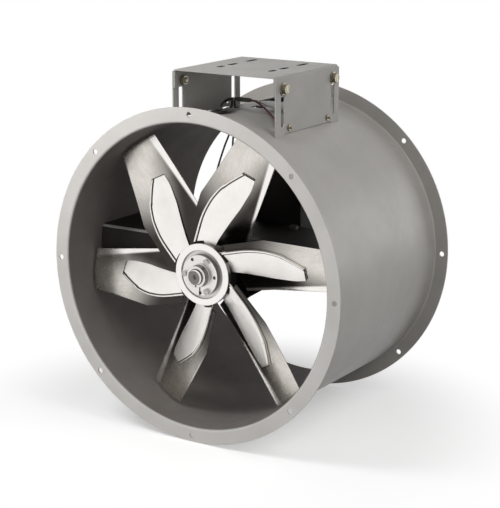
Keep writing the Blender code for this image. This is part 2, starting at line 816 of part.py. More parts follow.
def base_bolt_stations():
    """The front and rear bolts' places along Y."""
    reach = BASE_LENGTH / 2 - MOUNT_SLOT_EDGE
    return [BASE_CENTRE_Y - reach, BASE_CENTRE_Y + reach]


def mount_hole_stations():
    reach = BASE_LENGTH / 2 - MOUNT_CORNER_HOLE_INSET
    return [BASE_CENTRE_Y - reach, BASE_CENTRE_Y + reach]


def mount_hole_z(side):
    """The corner holes' height over the drum beside the support on that side."""
    inner_x = BASE_CENTRE_X + side * MOUNT_INNER_OFFSET
    return AXIS_Z + math.sqrt(DRUM_OUTER_RADIUS**2 - inner_x**2) + MOUNT_CORNER_HOLE_RISE


def build_motor_mounts():
    for side, name in ((-1, "motor_support_left"), (1, "motor_support_right")):
        inner_x = BASE_CENTRE_X + side * MOUNT_INNER_OFFSET
        middle_x = inner_x + side * MOUNT_THICKNESS / 2
        outlines = mount_outline(side, inner_x)
        mount = meshed(flat_piece(name, outlines, MOUNT_THICKNESS, PLANE_YZ, (middle_x, 0, 0)))
        combine(mount, DRUM_PLUG)
        finish(mount, "light_grey_paint")


def base_section():
    """The motor base seen along Y, as (x, z): a plate with rounded bends and two sides."""
    left = BASE_CENTRE_X - BASE_WIDTH / 2
    right = BASE_CENTRE_X + BASE_WIDTH / 2
    low = BASE_TOP_Z - BASE_SIDE_DEPTH
    bend, sheet = BASE_BEND_RADIUS, BASE_THICKNESS
    centre_z = BASE_TOP_Z - bend
    quarter = math.pi / 2
    outside = arc(right - bend, centre_z, bend, 0, quarter, BASE_BEND_STEPS)
    outside += arc(left + bend, centre_z, bend, quarter, math.pi, BASE_BEND_STEPS)
    inside = arc(left + bend, centre_z, bend - sheet, math.pi, quarter, BASE_BEND_STEPS)
    inside += arc(right - bend, centre_z, bend - sheet, quarter, 0, BASE_BEND_STEPS)
    return [(right, low), *outside, (left, low), (left + sheet, low), *inside, (right - sheet, low)]


def build_motor_base(slide_axis):
    base = meshed(flat_piece("motor_base", [base_section()], BASE_LENGTH, PLANE_XZ, (0, BASE_CENTRE_Y, 0)))
    outlines = [
        slot_outline(side * MOTOR_SLOT_SPACING / 2, BASE_CENTRE_Y + place, MOTOR_SLOT_WIDTH, length)
        for side in (-1, 1)
        for place, length in MOTOR_SLOT_PLACES
    ]
    depth = 2 * (BASE_THICKNESS + OVERRUN)
    for index, outline in enumerate(outlines):
        slot = flat_piece(f"motor_slot_{index + 1}", [outline], depth, UPRIGHT, (0, 0, BASE_TOP_Z))
        combine(base, as_cutter(meshed(slot)))
    bolt_holes = rods(
        "base_bolt_holes",
        BASE_BOLT_RADIUS + GAP,
        BASE_WIDTH + 2 * OVERRUN,
        TURN_Z_TO_X,
        [Vector((BASE_CENTRE_X, y, BASE_BOLT_Z)) for y in base_bolt_stations()],
        SMALL_SEGMENTS,
    )
    combine(base, as_cutter(bolt_holes))
    carry(slide_axis, finish(base, "light_grey_paint"))


def fastener(name, profile, turn, centre, head_radius, head_span):
    """A round bolt with a six-sided head between two heights of its profile's axis."""
    obj = turned(name, profile, turn, centre, SMALL_SEGMENTS)
    low, high = head_span
    middle = turn @ Vector((0, 0, (low + high) / 2)) + Vector(centre)
    head = rod(f"{name}_head", head_radius, high - low, turn, middle, HEX_SIDES)
    return combine(obj, as_cutter(head), "UNION")


def hex_nut(name, turn, centre, bolt_radius):
    """A six-sided nut with room for its bolt."""
    nut = rod(name, BASE_BOLT_HEAD_RADIUS, NUT_HEIGHT, turn, centre, HEX_SIDES)
    bore = rod(f"{name}_bore", bolt_radius + GAP, NUT_HEIGHT + 2 * OVERRUN, turn, centre, SMALL_SEGMENTS)
    return combine(nut, as_cutter(bore))


def shank_profile(radius, low, high):
    return [(0, high), (radius, high), (radius, low), (0, low)]


def build_base_fasteners(slide_axis):
    """Bolt and washer outside each support, nut inside the motor base."""
    head_low = MOUNT_OUTER_OFFSET + WASHER_THICKNESS + 2 * GAP
    head_high = head_low + BASE_BOLT_HEAD_HEIGHT
    nut_high = BASE_WIDTH / 2 - BASE_THICKNESS - GAP
    nut_low = nut_high - NUT_HEIGHT
    for side, side_name in ((-1, "left"), (1, "right")):
        turn = TURN_Z_TO_X if side > 0 else TURN_Z_TO_X @ Matrix.Rotation(math.pi, 4, "X")
        for y, end_name in zip(base_bolt_stations(), ("front", "rear")):
            centre = Vector((BASE_CENTRE_X, y, BASE_BOLT_Z))
            label = f"{end_name}_{side_name}"
            profile = shank_profile(BASE_BOLT_RADIUS, nut_low - BASE_BOLT_END, head_high - OVERRUN)
            head_span = (head_low, head_high)
            bolt = fastener(f"base_bolt_{label}", profile, turn, centre, BASE_BOLT_HEAD_RADIUS, head_span)
            washer_low = MOUNT_OUTER_OFFSET + GAP
            hole = BASE_BOLT_RADIUS + GAP
            washer_profile = [
                (WASHER_RADIUS, washer_low + WASHER_THICKNESS),
                (WASHER_RADIUS, washer_low),
                (hole, washer_low),
                (hole, washer_low + WASHER_THICKNESS),
            ]
            name = f"base_washer_{label}"
            washer = turned(name, washer_profile, turn, centre, ROUND_SEGMENTS, closed=True)
            nut_centre = turn @ Vector((0, 0, (nut_low + nut_high) / 2)) + centre
            nut = hex_nut(f"base_nut_{label}", turn, nut_centre, BASE_BOLT_RADIUS)
            for piece in (bolt, washer, nut):
                carry(slide_axis, finish(piece, "zinc_plate"))


def build_bearings(spin_axis):
    """Pillow blocks hung under the support, and the ring of each that turns with the shaft."""
    for label, y, outward in (("front", BEARING_FRONT_Y, 1), ("rear", BEARING_REAR_Y, -1)):
        name = f"bearing_housing_{label}"
        top = AXIS_Z + BEARING_HEIGHT
        housing = box(
            name,
            (-BEARING_BASE_LENGTH / 2, y - BEARING_WIDTH / 2, top - BEARING_BASE_THICKNESS),
            (BEARING_BASE_LENGTH / 2, y + BEARING_WIDTH / 2, top),
        )
        middle = (0, y, AXIS_Z)
        dome = rod(f"{name}_dome", BEARING_DOME_RADIUS, BEARING_WIDTH - 2 * GAP, TURN_Z_TO_Y, middle)
        combine(housing, as_cutter(dome), "UNION")
        long_enough = BEARING_WIDTH + 2 * OVERRUN
        bore = rod(f"{name}_bore", BEARING_BORE_RADIUS, long_enough, TURN_Z_TO_Y, middle)
        bolt_holes = rods(
            f"{name}_bolt_holes",
            BEARING_BOLT_RADIUS + GAP,
            2 * (BEARING_BASE_THICKNESS + OVERRUN),
            UPRIGHT,
            [Vector((side * BEARING_BOLT_SPACING / 2, y, top)) for side in (-1, 1)],
            SMALL_SEGMENTS,
        )
        port = rod(
            f"{name}_port",
            LINE_RADIUS + GAP,
            2 * GREASE_PORT_DEPTH,
            TURN_Z_TO_X,
            (-BEARING_DOME_RADIUS, y, AXIS_Z),
            SMALL_SEGMENTS,
        )
        for tool in (bore, bolt_holes, port):
            combine(housing, as_cutter(tool))
        finish(housing, "cast_iron")
        ring = turned(
            f"bearing_ring_{label}",
            ring_profile(y, outward),
            TURN_Z_TO_Y,
            (0, 0, AXIS_Z),
            ROUND_SEGMENTS,
            closed=True,
        )
        carry(spin_axis, finish(ring, "machined_steel"))


def ring_profile(y, outward):
    """An inner ring whose thicker end, beside the housing, takes its set screws."""
    inner, outer = SHAFT_RADIUS + GAP, BEARING_BORE_RADIUS - BEARING_RUNNING_GAP
    half = BEARING_WIDTH / 2
    shoulder = y + outward * (half + GAP)
    high, low = sorted((y + outward * (half + RING_REACH), y - outward * half), reverse=True)
    if outward > 0:
        return [
            (RING_END_RADIUS, high),
            (RING_END_RADIUS, shoulder),
            (outer, shoulder),
            (outer, low),
            (inner, low),
            (inner, high),
        ]
    return [
        (outer, high),
        (outer, shoulder),
        (RING_END_RADIUS, shoulder),
        (RING_END_RADIUS, low),
        (inner, low),
        (inner, high),
    ]


def build_bearing_bolts():
    """Each bolt goes down through the support and a bearing's foot, with its nut below."""
    head_low = GAP
    nut_high = -(SUPPORT_THICKNESS + 2 * GAP + BEARING_BASE_THICKNESS)
    nut_low = nut_high - NUT_HEIGHT
    for index, place in enumerate(bearing_bolt_places()):
        profile = shank_profile(BEARING_BOLT_RADIUS, nut_low - BASE_BOLT_END, head_low + OVERRUN)
        head_span = (head_low, head_low + BEARING_BOLT_HEAD_HEIGHT)
        name = f"bearing_bolt_{index + 1}"
        bolt = fastener(name, profile, UPRIGHT, place, BEARING_BOLT_HEAD_RADIUS, head_span)
        finish(bolt, "zinc_plate")
        nut_centre = place + Vector((0, 0, (nut_low + nut_high) / 2))
        nut = hex_nut(f"bearing_nut_{index + 1}", UPRIGHT, nut_centre, BEARING_BOLT_RADIUS)
        finish(nut, "zinc_plate")


def shaft_profile():
    """Solid shaft with chamfered ends and a centre drilled in its front, heights along Y."""
    radius, edge = SHAFT_RADIUS, SHAFT_CHAMFER
    return [
        (0, SHAFT_REAR_Y),
        (radius - edge, SHAFT_REAR_Y),
        (radius, SHAFT_REAR_Y - edge),
        (radius, SHAFT_FRONT_Y + edge),
        (radius - edge, SHAFT_FRONT_Y),
        (SHAFT_CENTRE_RADIUS, SHAFT_FRONT_Y),
        (0, SHAFT_FRONT_Y + SHAFT_CENTRE_DEPTH),
    ]


def key_spans():
    """The stations of the two keys: one in the hub's bushing, one in the sheave."""
    front = (BUSHING_FACE_Y, BUSHING_SEAT_Y + BUSHING_BARREL_LENGTH)
    rear = (TUNNEL_CENTRE_Y - SHEAVE_HUB_LENGTH / 2, TUNNEL_CENTRE_Y + SHEAVE_HUB_LENGTH / 2)
    return {"hub_key": front, "sheave_key": rear}


def key_box(name, span, clearance):
    """A block lying in the shaft's top, or with a clearance the room that it needs."""
    half = KEY_WIDTH / 2 + clearance
    low = AXIS_Z + SHAFT_RADIUS - KEY_DEPTH - clearance
    high = AXIS_Z + SHAFT_RADIUS + KEY_RISE + clearance
    start, end = span
    inset = KEY_END_GAP - clearance
    return box(name, (-half, start + inset, low), (half, end - inset, high))


def build_shaft_and_keys(spin_axis):
    shaft = turned("fan_shaft", shaft_profile(), TURN_Z_TO_Y, (0, 0, AXIS_Z), ROUND_SEGMENTS)
    for name, span in key_spans().items():
        combine(shaft, as_cutter(key_box(f"{name}_seat", span, GAP)))
        carry(spin_axis, finish(key_box(name, span, 0), "machined_steel"))
    carry(spin_axis, finish(shaft, "machined_steel"))


def blade_angles():
    return [BLADE_PHASE + 2 * math.pi * index / BLADE_COUNT for index in range(BLADE_COUNT)]


def hub_profile():
    """Disc, barrel and tapered bore as heights along Y, from the rear to the front."""
    rear = HUB_FACE_Y + HUB_LENGTH
    disc_back = HUB_FACE_Y + HUB_DISC_THICKNESS
    floor = HUB_FACE_Y + HUB_RECESS_DEPTH
    narrow = HUB_BORE_REAR_RADIUS
    wide = BUSHING_BARREL_RADIUS + GAP
    edge = HUB_DISC_EDGE
    return [
        (HUB_BARREL_RADIUS, rear),
        (HUB_BARREL_RADIUS, disc_back),
        (HUB_DISC_RADIUS - edge, disc_back),
        (HUB_DISC_RADIUS, disc_back - edge),
        (HUB_DISC_RADIUS, HUB_FACE_Y + edge),
        (HUB_DISC_RADIUS - edge, HUB_FACE_Y),
        (HUB_RECESS_RADIUS, HUB_FACE_Y),
        (HUB_RECESS_RADIUS, floor),
        (wide, floor),
        (narrow, rear),
    ]


def bushing_screw_places(y):
    pitch = 2 * math.pi / BUSHING_SCREW_COUNT
    angles = [(index + BUSHING_SCREW_PHASE_SHARE) * pitch for index in range(BUSHING_SCREW_COUNT)]
    return [on_circle(BUSHING_SCREW_CIRCLE, angle, y) for angle in angles]


def build_hub(spin_axis):
    hub = turned("hub", hub_profile(), TURN_Z_TO_Y, (0, 0, AXIS_Z), HUB_SEGMENTS, closed=True)
    threads = rods(
        "hub_screw_holes",
        BUSHING_SCREW_RADIUS + GAP,
        2 * BUSHING_SCREW_BITE + 2 * OVERRUN,
        TURN_Z_TO_Y,
        bushing_screw_places(HUB_FACE_Y + HUB_RECESS_DEPTH),
        SMALL_SEGMENTS,
    )
    combine(hub, as_cutter(threads))
    carry(spin_axis, finish(hub, "mill_aluminium"))


def bushing_profile():
    """Nose, flange and tapered barrel as heights along Y, with the shaft's bore inside."""
    inner = SHAFT_RADIUS + GAP
    rear = BUSHING_SEAT_Y + BUSHING_BARREL_LENGTH
    return [
        (BUSHING_BARREL_RADIUS - BUSHING_TAPER, rear),
        (BUSHING_BARREL_RADIUS, BUSHING_SEAT_Y),
        (BUSHING_FLANGE_RADIUS, BUSHING_SEAT_Y),
        (BUSHING_FLANGE_RADIUS, BUSHING_FACE_Y),
        (BUSHING_NOSE_RADIUS, BUSHING_FACE_Y),
        (BUSHING_NOSE_RADIUS, BUSHING_FACE_Y - BUSHING_NOSE_LENGTH),
        (inner, BUSHING_FACE_Y - BUSHING_NOSE_LENGTH),
        (inner, rear),
    ]


def build_bushing(spin_axis):
    centre = (0, 0, AXIS_Z)
    bushing = turned("hub_bushing", bushing_profile(), TURN_Z_TO_Y, centre, HUB_SEGMENTS, closed=True)
    length = 2 * (BUSHING_FLANGE_THICKNESS + BUSHING_NOSE_LENGTH + BUSHING_BARREL_LENGTH)
    slit = box(
        "bushing_slit",
        (-BUSHING_SLIT / 2, BUSHING_SEAT_Y - length, AXIS_Z - BUSHING_FLANGE_RADIUS - OVERRUN),
        (BUSHING_SLIT / 2, BUSHING_SEAT_Y + length, AXIS_Z),
    )
    key_room = key_box("bushing_key_room", key_spans()["hub_key"], GAP)
    holes = rods(
        "bushing_screw_holes",
        BUSHING_SCREW_RADIUS + GAP,
        2 * (BUSHING_FLANGE_THICKNESS + OVERRUN),
        TURN_Z_TO_Y,
        bushing_screw_places((BUSHING_FACE_Y + BUSHING_SEAT_Y) / 2),
        SMALL_SEGMENTS,
    )
    for tool in (slit, key_room, holes):
        combine(bushing, as_cutter(tool))
    carry(spin_axis, finish(bushing, "machined_steel"))
    head_low = GAP
    head_high = head_low + BUSHING_SCREW_HEAD_HEIGHT
    tip = -(BUSHING_FLANGE_THICKNESS + BUSHING_SCREW_BITE - GAP)
    turn = TURN_Z_TO_Y @ Matrix.Rotation(math.pi, 4, "X")
    for index, place in enumerate(bushing_screw_places(BUSHING_FACE_Y)):
        profile = shank_profile(BUSHING_SCREW_RADIUS, tip, head_low + BUSHING_SCREW_HEAD_HEIGHT / 2)
        name = f"bushing_screw_{index + 1}"
        screw = fastener(name, profile, turn, place, BUSHING_SCREW_HEAD_RADIUS, (head_low, head_high))
        carry(spin_axis, finish(screw, "zinc_plate"))


def mix(start, end, share):
    return start + (end - start) * share


def blade_surface(radial_share, across):
    """The blade's middle surface in its own frame: X along the radial line, Z across it."""
    lead = mix(BLADE_ROOT_LEAD, BLADE_TIP_LEAD, radial_share)
    trail = mix(BLADE_ROOT_TRAIL, BLADE_TIP_TRAIL, radial_share)
    tip_edge = math.sqrt(BLADE_TIP_RADIUS**2 - across**2)
    radial = mix(BLADE_ROOT_RADIUS, tip_edge, radial_share)
    pitch = mix(math.tan(BLADE_ROOT_PITCH), math.tan(BLADE_TIP_PITCH), radial_share)
    chord_share = (across + trail) / (lead + trail)
    camber = 4 * BLADE_CAMBER * chord_share * (1 - chord_share)
    return Vector((radial, BLADE_PLANE_Y - across * pitch - camber, across))


def blade_normal(radial_share, across):
    """The unit normal of the blade's front face."""
    step = BLADE_THICKNESS
    span = BLADE_TIP_RADIUS - BLADE_ROOT_RADIUS
    here = blade_surface(radial_share, across)
    outward = blade_surface(radial_share + step / span, across) - here
    sideways = blade_surface(radial_share, across + step) - here
    normal = outward.cross(sideways)
    return normal.normalized() if normal.y < 0 else -normal.normalized()


def blade_vertex(row_share, column_share):
    lead = mix(BLADE_ROOT_LEAD, BLADE_TIP_LEAD, row_share)
    trail = mix(BLADE_ROOT_TRAIL, BLADE_TIP_TRAIL, row_share)
    return blade_surface(row_share, mix(-trail, lead, column_share))


def arm_edges(row_share):
    """The arm's two edges across the blade at a share of the arm's length."""
    rows = ARM_EDGE_SHARES
    for (start, low, high), (end, next_low, next_high) in zip(rows, rows[1:]):
        if row_share <= end:
            share = (row_share - start) / (end - start)
            return mix(low, next_low, share) * ARM_WIDTH, mix(high, next_high, share) * ARM_WIDTH
    return rows[-1][1] * ARM_WIDTH, rows[-1][2] * ARM_WIDTH


def arm_root(across):
    """Where the arm meets the hub: the barrel low down, the rim of its disc higher up."""
    normal = blade_normal(0, across)
    lifted = across + normal.z * ARM_LIFT
    rim = HUB_DISC_RADIUS if lifted > ARM_RIM_START else HUB_BARREL_RADIUS
    play = GAP + abs(normal.z) * ARM_THICKNESS / 2 * lifted / rim
    return math.sqrt((rim + play) ** 2 - lifted**2) - normal.x * ARM_LIFT


def arm_vertex(row_share, column_share):
    """A point of the arm's middle surface, lifted off the blade's front."""
    across = mix(*arm_edges(row_share), column_share)
    radial = mix(arm_root(across), ARM_TIP_RADIUS, row_share)
    tip_edge = math.sqrt(BLADE_TIP_RADIUS**2 - across**2)
    share = (radial - BLADE_ROOT_RADIUS) / (tip_edge - BLADE_ROOT_RADIUS)
    return blade_surface(share, across) + blade_normal(share, across) * ARM_LIFT


def sheet_mesh(name, vertex_at, row_shares, columns):
    """A grid of rows and columns bent to a surface."""
    rows = len(row_shares) - 1
    shape = bmesh.new()
    bmesh.ops.create_grid(shape, x_segments=columns, y_segments=rows, size=1)
    for vertex in shape.verts:
        column_share = (vertex.co.x + 1) / 2
        row = round((vertex.co.y + 1) / 2 * rows)
        vertex.co = vertex_at(row_shares[row], column_share)
    mesh = bpy.data.meshes.new(name)
    shape.to_mesh(mesh)
    shape.free()
    return mesh


def sheet_piece(name, mesh, thickness, angle):
    """A bent sheet on the propeller, turned to its own angle round the axis."""
    obj = bpy.data.objects.new(name, mesh.copy())
    obj.matrix_world = Matrix.Translation((0, 0, AXIS_Z)) @ Matrix.Rotation(-angle, 4, "Y")
    solid = obj.modifiers.new("sheet", "SOLIDIFY")
    solid.thickness = thickness
    solid.offset = 0
    solid.use_even_offset = True
    return obj


def build_blades(spin_axis):
    blade_rows = [row / BLADE_ROWS for row in range(BLADE_ROWS + 1)]
    arm_rows = [row[0] for row in ARM_EDGE_SHARES]
    blade_mesh = sheet_mesh("blade", blade_vertex, blade_rows, BLADE_COLUMNS)
    arm_mesh = sheet_mesh("blade_arm", arm_vertex, arm_rows, ARM_COLUMNS)
    for index, angle in enumerate(blade_angles()):
        blade = sheet_piece(f"blade_{index + 1}", blade_mesh, BLADE_THICKNESS, angle)
        arm = sheet_piece(f"blade_arm_{index + 1}", arm_mesh, ARM_THICKNESS, angle)
        for piece in (blade, arm):
            carry(spin_axis, finish(piece, "mill_aluminium"))


def sheave_profile():
    """A grooved rim on a longer hub, as heights along Y, with the shaft's bore inside."""
    inner = SHAFT_RADIUS + GAP
    middle = TUNNEL_CENTRE_Y
    root = SHEAVE_RADIUS - SHEAVE_GROOVE_DEPTH
    return [
        (SHEAVE_HUB_RADIUS, middle + SHEAVE_HUB_LENGTH / 2),
        (SHEAVE_HUB_RADIUS, middle + SHEAVE_RIM_WIDTH / 2),
        (SHEAVE_RADIUS, middle + SHEAVE_RIM_WIDTH / 2),
        (SHEAVE_RADIUS, middle + SHEAVE_GROOVE_TOP / 2),
        (root, middle + SHEAVE_GROOVE_BOTTOM / 2),
        (root, middle - SHEAVE_GROOVE_BOTTOM / 2),
        (SHEAVE_RADIUS, middle - SHEAVE_GROOVE_TOP / 2),
        (SHEAVE_RADIUS, middle - SHEAVE_RIM_WIDTH / 2),
        (SHEAVE_HUB_RADIUS, middle - SHEAVE_RIM_WIDTH / 2),
        (SHEAVE_HUB_RADIUS, middle - SHEAVE_HUB_LENGTH / 2),
        (inner, middle - SHEAVE_HUB_LENGTH / 2),
        (inner, middle + SHEAVE_HUB_LENGTH / 2),
    ]


def build_sheave(spin_axis):
    centre = (0, 0, AXIS_Z)
    sheave = turned("driven_sheave", sheave_profile(), TURN_Z_TO_Y, centre, SHEAVE_SEGMENTS, closed=True)
    start, end = key_spans()["sheave_key"]
    room = key_box("sheave_key_room", (start - OVERRUN, end + OVERRUN), GAP)
    combine(sheave, as_cutter(room))
    carry(spin_axis, finish(sheave, "cast_iron"))


def build_grommet():
    """A rubber grommet that lines the loom's hole in the drum, lips above and below the sheet."""
    near = abs(GROMMET_X) - GROMMET_LIP_RADIUS
    far = abs(GROMMET_X) + GROMMET_LIP_RADIUS
    over = AXIS_Z + math.sqrt(DRUM_OUTER_RADIUS**2 - near**2) + GAP
    under = AXIS_Z + math.sqrt(DRUM_BORE_RADIUS**2 - far**2) * math.cos(DRUM_HALF_STEP) - GAP
    inner = LOOM_RADIUS + GAP
    profile = [
        (GROMMET_LIP_RADIUS, over + GROMMET_LIP_THICKNESS),
        (GROMMET_LIP_RADIUS, over),
        (GROMMET_RADIUS, over),
        (GROMMET_RADIUS, under),
        (GROMMET_LIP_RADIUS, under),
        (GROMMET_LIP_RADIUS, under - GROMMET_LIP_THICKNESS),
        (inner, under - GROMMET_LIP_THICKNESS),
        (inner, over + GROMMET_LIP_THICKNESS),
    ]
    centre = (GROMMET_X, GROMMET_Y, 0)
    finish(turned("grommet", profile, UPRIGHT, centre, SMALL_SEGMENTS, closed=True), "grey_rubber")
    return under - GROMMET_LIP_THICKNESS


def from_axis(route):
    """A route's points with their heights counted from the floor."""
    return [Vector((x, y, AXIS_Z + rise)) for x, y, rise in route]


def inner_knots(bearing_y, foot):
    """The points of one inner line, from its bearing's port to the foot of the loom."""
    port_x = GREASE_PORT_DEPTH / 2 - BEARING_DOME_RADIUS
    route = [(x, on_the_way(bearing_y, share), rise) for x, share, rise in INNER_ROUTE]
    last = (foot.x, foot.y, INNER_FOOT_RISE)
    return [Vector((port_x, bearing_y, AXIS_Z)), *from_axis([*route, last]), foot]


def nipple_place(y):
    """Where a grease nipple's inner end meets its line, inside the right-hand support."""
    inner_x = BASE_CENTRE_X + MOUNT_INNER_OFFSET
    return Vector((inner_x - NIPPLE_INNER_LENGTH, y, mount_hole_z(1)))


def grease_line(name, knots, radius, finish_name):
    finish(tube(name, smooth_route(knots, LINE_STEPS), radius), finish_name)


def build_inner_lines(foot):
    """From each bearing's port, up through the support, to the foot of the loom in the grommet."""
    for side, label, bearing_y in ((-1, "front", BEARING_FRONT_Y), (1, "rear", BEARING_REAR_Y)):
        own_foot = foot + Vector((side * (LINE_RADIUS + GAP), 0, -GAP))
        knots = inner_knots(bearing_y, own_foot)
        grease_line(f"grease_line_{label}_inner", knots, LINE_RADIUS, "black_nylon")


def build_outer_lines():
    """From the sleeve's end to the two nipples on the right-hand support."""
    sleeve_end = Vector((SLEEVE_X + SLEEVE_LENGTH / 2 + GAP, SLEEVE_Y, SLEEVE_Z))
    front_y, rear_y = mount_hole_stations()
    ends = (
        (-1, "front", front_y, FRONT_OUTER_ROUTE, "red_nylon"),
        (1, "rear", rear_y, REAR_OUTER_ROUTE, "natural_nylon"),
    )
    for side, label, nipple_y, route, colour in ends:
        start = sleeve_end + Vector((0, side * (LINE_RADIUS + GAP / 2), 0))
        end = nipple_place(nipple_y) - Vector((GAP, 0, 0))
        knots = [start, *from_axis(route), end]
        grease_line(f"grease_line_{label}_outer", knots, LINE_RADIUS, colour)
        build_nipple(f"grease_nipple_{label}", nipple_y)


def build_grease_lines():
    """The inner lines, the loom that takes both out of the drum, its sleeve and the outer lines."""
    foot = Vector((GROMMET_X, GROMMET_Y, build_grommet() - GAP))
    build_inner_lines(foot)
    sleeve_start = Vector((SLEEVE_X - SLEEVE_LENGTH / 2 - GAP, SLEEVE_Y, SLEEVE_Z))
    loom_knots = [foot, *from_axis(LOOM_ROUTE), sleeve_start]
    grease_line("grease_line_loom", loom_knots, LOOM_RADIUS, "black_nylon")
    half = SLEEVE_LENGTH / 2
    sleeve_profile = [
        (0, half),
        (SLEEVE_CAP_RADIUS, half),
        (SLEEVE_CAP_RADIUS, half - SLEEVE_CAP_LENGTH),
        (SLEEVE_RADIUS, half - SLEEVE_CAP_LENGTH),
        (SLEEVE_RADIUS, -half),
        (0, -half),
    ]
    centre = (SLEEVE_X, SLEEVE_Y, SLEEVE_Z)
    finish(turned("grease_line_sleeve", sleeve_profile, TURN_Z_TO_X, centre, SMALL_SEGMENTS), "grey_rubber")
    build_outer_lines()


def build_nipple(name, y):
    """A grease nipple that passes through a corner hole of the right-hand support."""
    start = nipple_place(y)
    collar_low = NIPPLE_INNER_LENGTH + MOUNT_THICKNESS + GAP
    collar_high = collar_low + NIPPLE_COLLAR_THICKNESS
    profile = [
        (0, collar_high + NIPPLE_TIP_LENGTH),
        (NIPPLE_TIP_RADIUS / 2, collar_high + NIPPLE_TIP_LENGTH),
        (NIPPLE_TIP_RADIUS, collar_high + NIPPLE_TIP_LENGTH / 2),
        (NIPPLE_TIP_RADIUS, collar_high),
        (NIPPLE_COLLAR_RADIUS, collar_high),
        (NIPPLE_COLLAR_RADIUS, collar_low),
        (NIPPLE_RADIUS, collar_low),
        (NIPPLE_RADIUS, 0),
        (0, 0),
    ]
    finish(turned(name, profile, TURN_Z_TO_X, start, SMALL_SEGMENTS), "zinc_plate")


def main():
    spin_axis = add_axis("propeller_axis", (0, HUB_FACE_Y, AXIS_Z))
    slide_axis = add_axis("motor_base_axis", (BASE_CENTRE_X, BASE_CENTRE_Y, BASE_TOP_Z))
    build_drum()
    build_bearing_support()
    build_belt_tunnel()
    build_motor_mounts()
    build_motor_base(slide_axis)
    build_base_fasteners(slide_axis)
    build_bearings(spin_axis)
    build_bearing_bolts()
    build_shaft_and_keys(spin_axis)
    build_hub(spin_axis)
    build_bushing(spin_axis)
    build_blades(spin_axis)
    build_sheave(spin_axis)
    build_grease_lines()


main()
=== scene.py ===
"""Studio scene of a belt-driven tubeaxial duct fan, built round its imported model.

The fan's axis lies along Y with the propeller end at -Y, and +Z is up. Every piece is made in
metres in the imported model's own frame and rides on one of its three bodies: the housing, the
propeller or the motor base.
"""

import logging
import math
from dataclasses import dataclass
from enum import Enum
from typing import Callable, Sequence

import bmesh
import bpy
from mathutils import Matrix, Vector


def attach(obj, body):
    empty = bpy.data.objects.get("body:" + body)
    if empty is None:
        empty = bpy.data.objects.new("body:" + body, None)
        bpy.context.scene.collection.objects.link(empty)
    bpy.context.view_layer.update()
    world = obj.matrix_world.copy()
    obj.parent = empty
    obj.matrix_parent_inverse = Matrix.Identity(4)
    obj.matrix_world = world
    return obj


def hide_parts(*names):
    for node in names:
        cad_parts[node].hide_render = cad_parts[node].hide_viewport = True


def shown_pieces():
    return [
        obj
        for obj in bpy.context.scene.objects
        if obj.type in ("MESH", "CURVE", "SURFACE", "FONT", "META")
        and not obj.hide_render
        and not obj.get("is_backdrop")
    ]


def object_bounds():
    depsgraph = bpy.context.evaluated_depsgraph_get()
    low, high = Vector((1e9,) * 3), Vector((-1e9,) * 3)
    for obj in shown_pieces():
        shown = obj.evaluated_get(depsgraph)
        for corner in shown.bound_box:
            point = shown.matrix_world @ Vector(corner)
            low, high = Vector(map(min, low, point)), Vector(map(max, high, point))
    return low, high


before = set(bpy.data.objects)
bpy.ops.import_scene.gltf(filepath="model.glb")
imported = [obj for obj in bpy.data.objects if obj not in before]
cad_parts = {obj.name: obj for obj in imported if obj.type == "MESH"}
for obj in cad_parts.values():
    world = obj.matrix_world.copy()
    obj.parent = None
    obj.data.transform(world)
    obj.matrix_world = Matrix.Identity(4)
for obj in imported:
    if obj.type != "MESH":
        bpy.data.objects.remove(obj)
CAD_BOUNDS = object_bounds()

LOG = logging.getLogger("tubeaxial_fan")
Point2 = tuple[float, float]
Point3 = tuple[float, float, float]
Outline = Sequence[Point2]
Settings = dict[str, object]
Piece = bpy.types.Object
Tree = bpy.types.NodeTree
Socket = bpy.types.NodeSocket
Looks = dict[str, Socket]

AXIS_Z = 0.343173
MM = 0.001
FULL_TURN = 2 * math.pi
QUARTER = math.pi / 2
# What the sub-assemblies share: the drum, the shaft, and the gap between pieces that touch.
DRUM_BORE = 0.311
DRUM_OUTER = 0.3137
SHAFT_RADIUS = 0.0159
BEARINGS_Y: Point2 = (-0.085, 0.060)
GROMMET_PLACE: Point2 = (-0.037, -0.012)
GAP = 0.0003
# A face whose normal has more than this share along an axis counts as facing that way.
FACING = 0.5
# Edges that bend more than this many degrees stay sharp, unless a call says otherwise.
SHARP = 30.0
SHARP_THREAD = 25.0
SHARP_CASTING = 35.0
SHARP_ROUNDED = 50.0
SHARP_BENT = 62.0
# Points closer than this become one when a mesh settles.
WELD = 0.002 * MM
# How thin a bent sheet is at its rounded rim.
RIM_SHARE = 0.35

UPRIGHT = Matrix.Identity(4)
ALONG_Y = Matrix.Rotation(-QUARTER, 4, "X")
ALONG_X = Matrix.Rotation(QUARTER, 4, "Y")
FACING_FRONT = Matrix.Rotation(QUARTER, 4, "X")
PLANE_YZ = Matrix(((0, 0, 1, 0), (1, 0, 0, 0), (0, 1, 0, 0), (0, 0, 0, 1)))
ON_AXIS = Matrix.Translation((0, 0, AXIS_Z))


class Body(Enum):
    """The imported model's bodies, which the pieces ride on."""

    HOUSING = "housing"
    PROPELLER = "propeller"
    MOTOR_BASE = "motor_base"


class Slot(Enum):
    """The record's material slots."""

    HOUSING_PAINT = "housing_paint"
    MOTOR_FRAME_PAINT = "motor_frame_paint"
    PROPELLER_METAL = "propeller_metal"
    MACHINED_STEEL = "machined_steel"
    ZINC_PLATE = "zinc_plate"
    CAST_IRON = "cast_iron"
    RUBBER = "rubber"
    BLACK_NYLON = "black_nylon"
    RED_NYLON = "red_nylon"
    NATURAL_NYLON = "natural_nylon"


# Materials

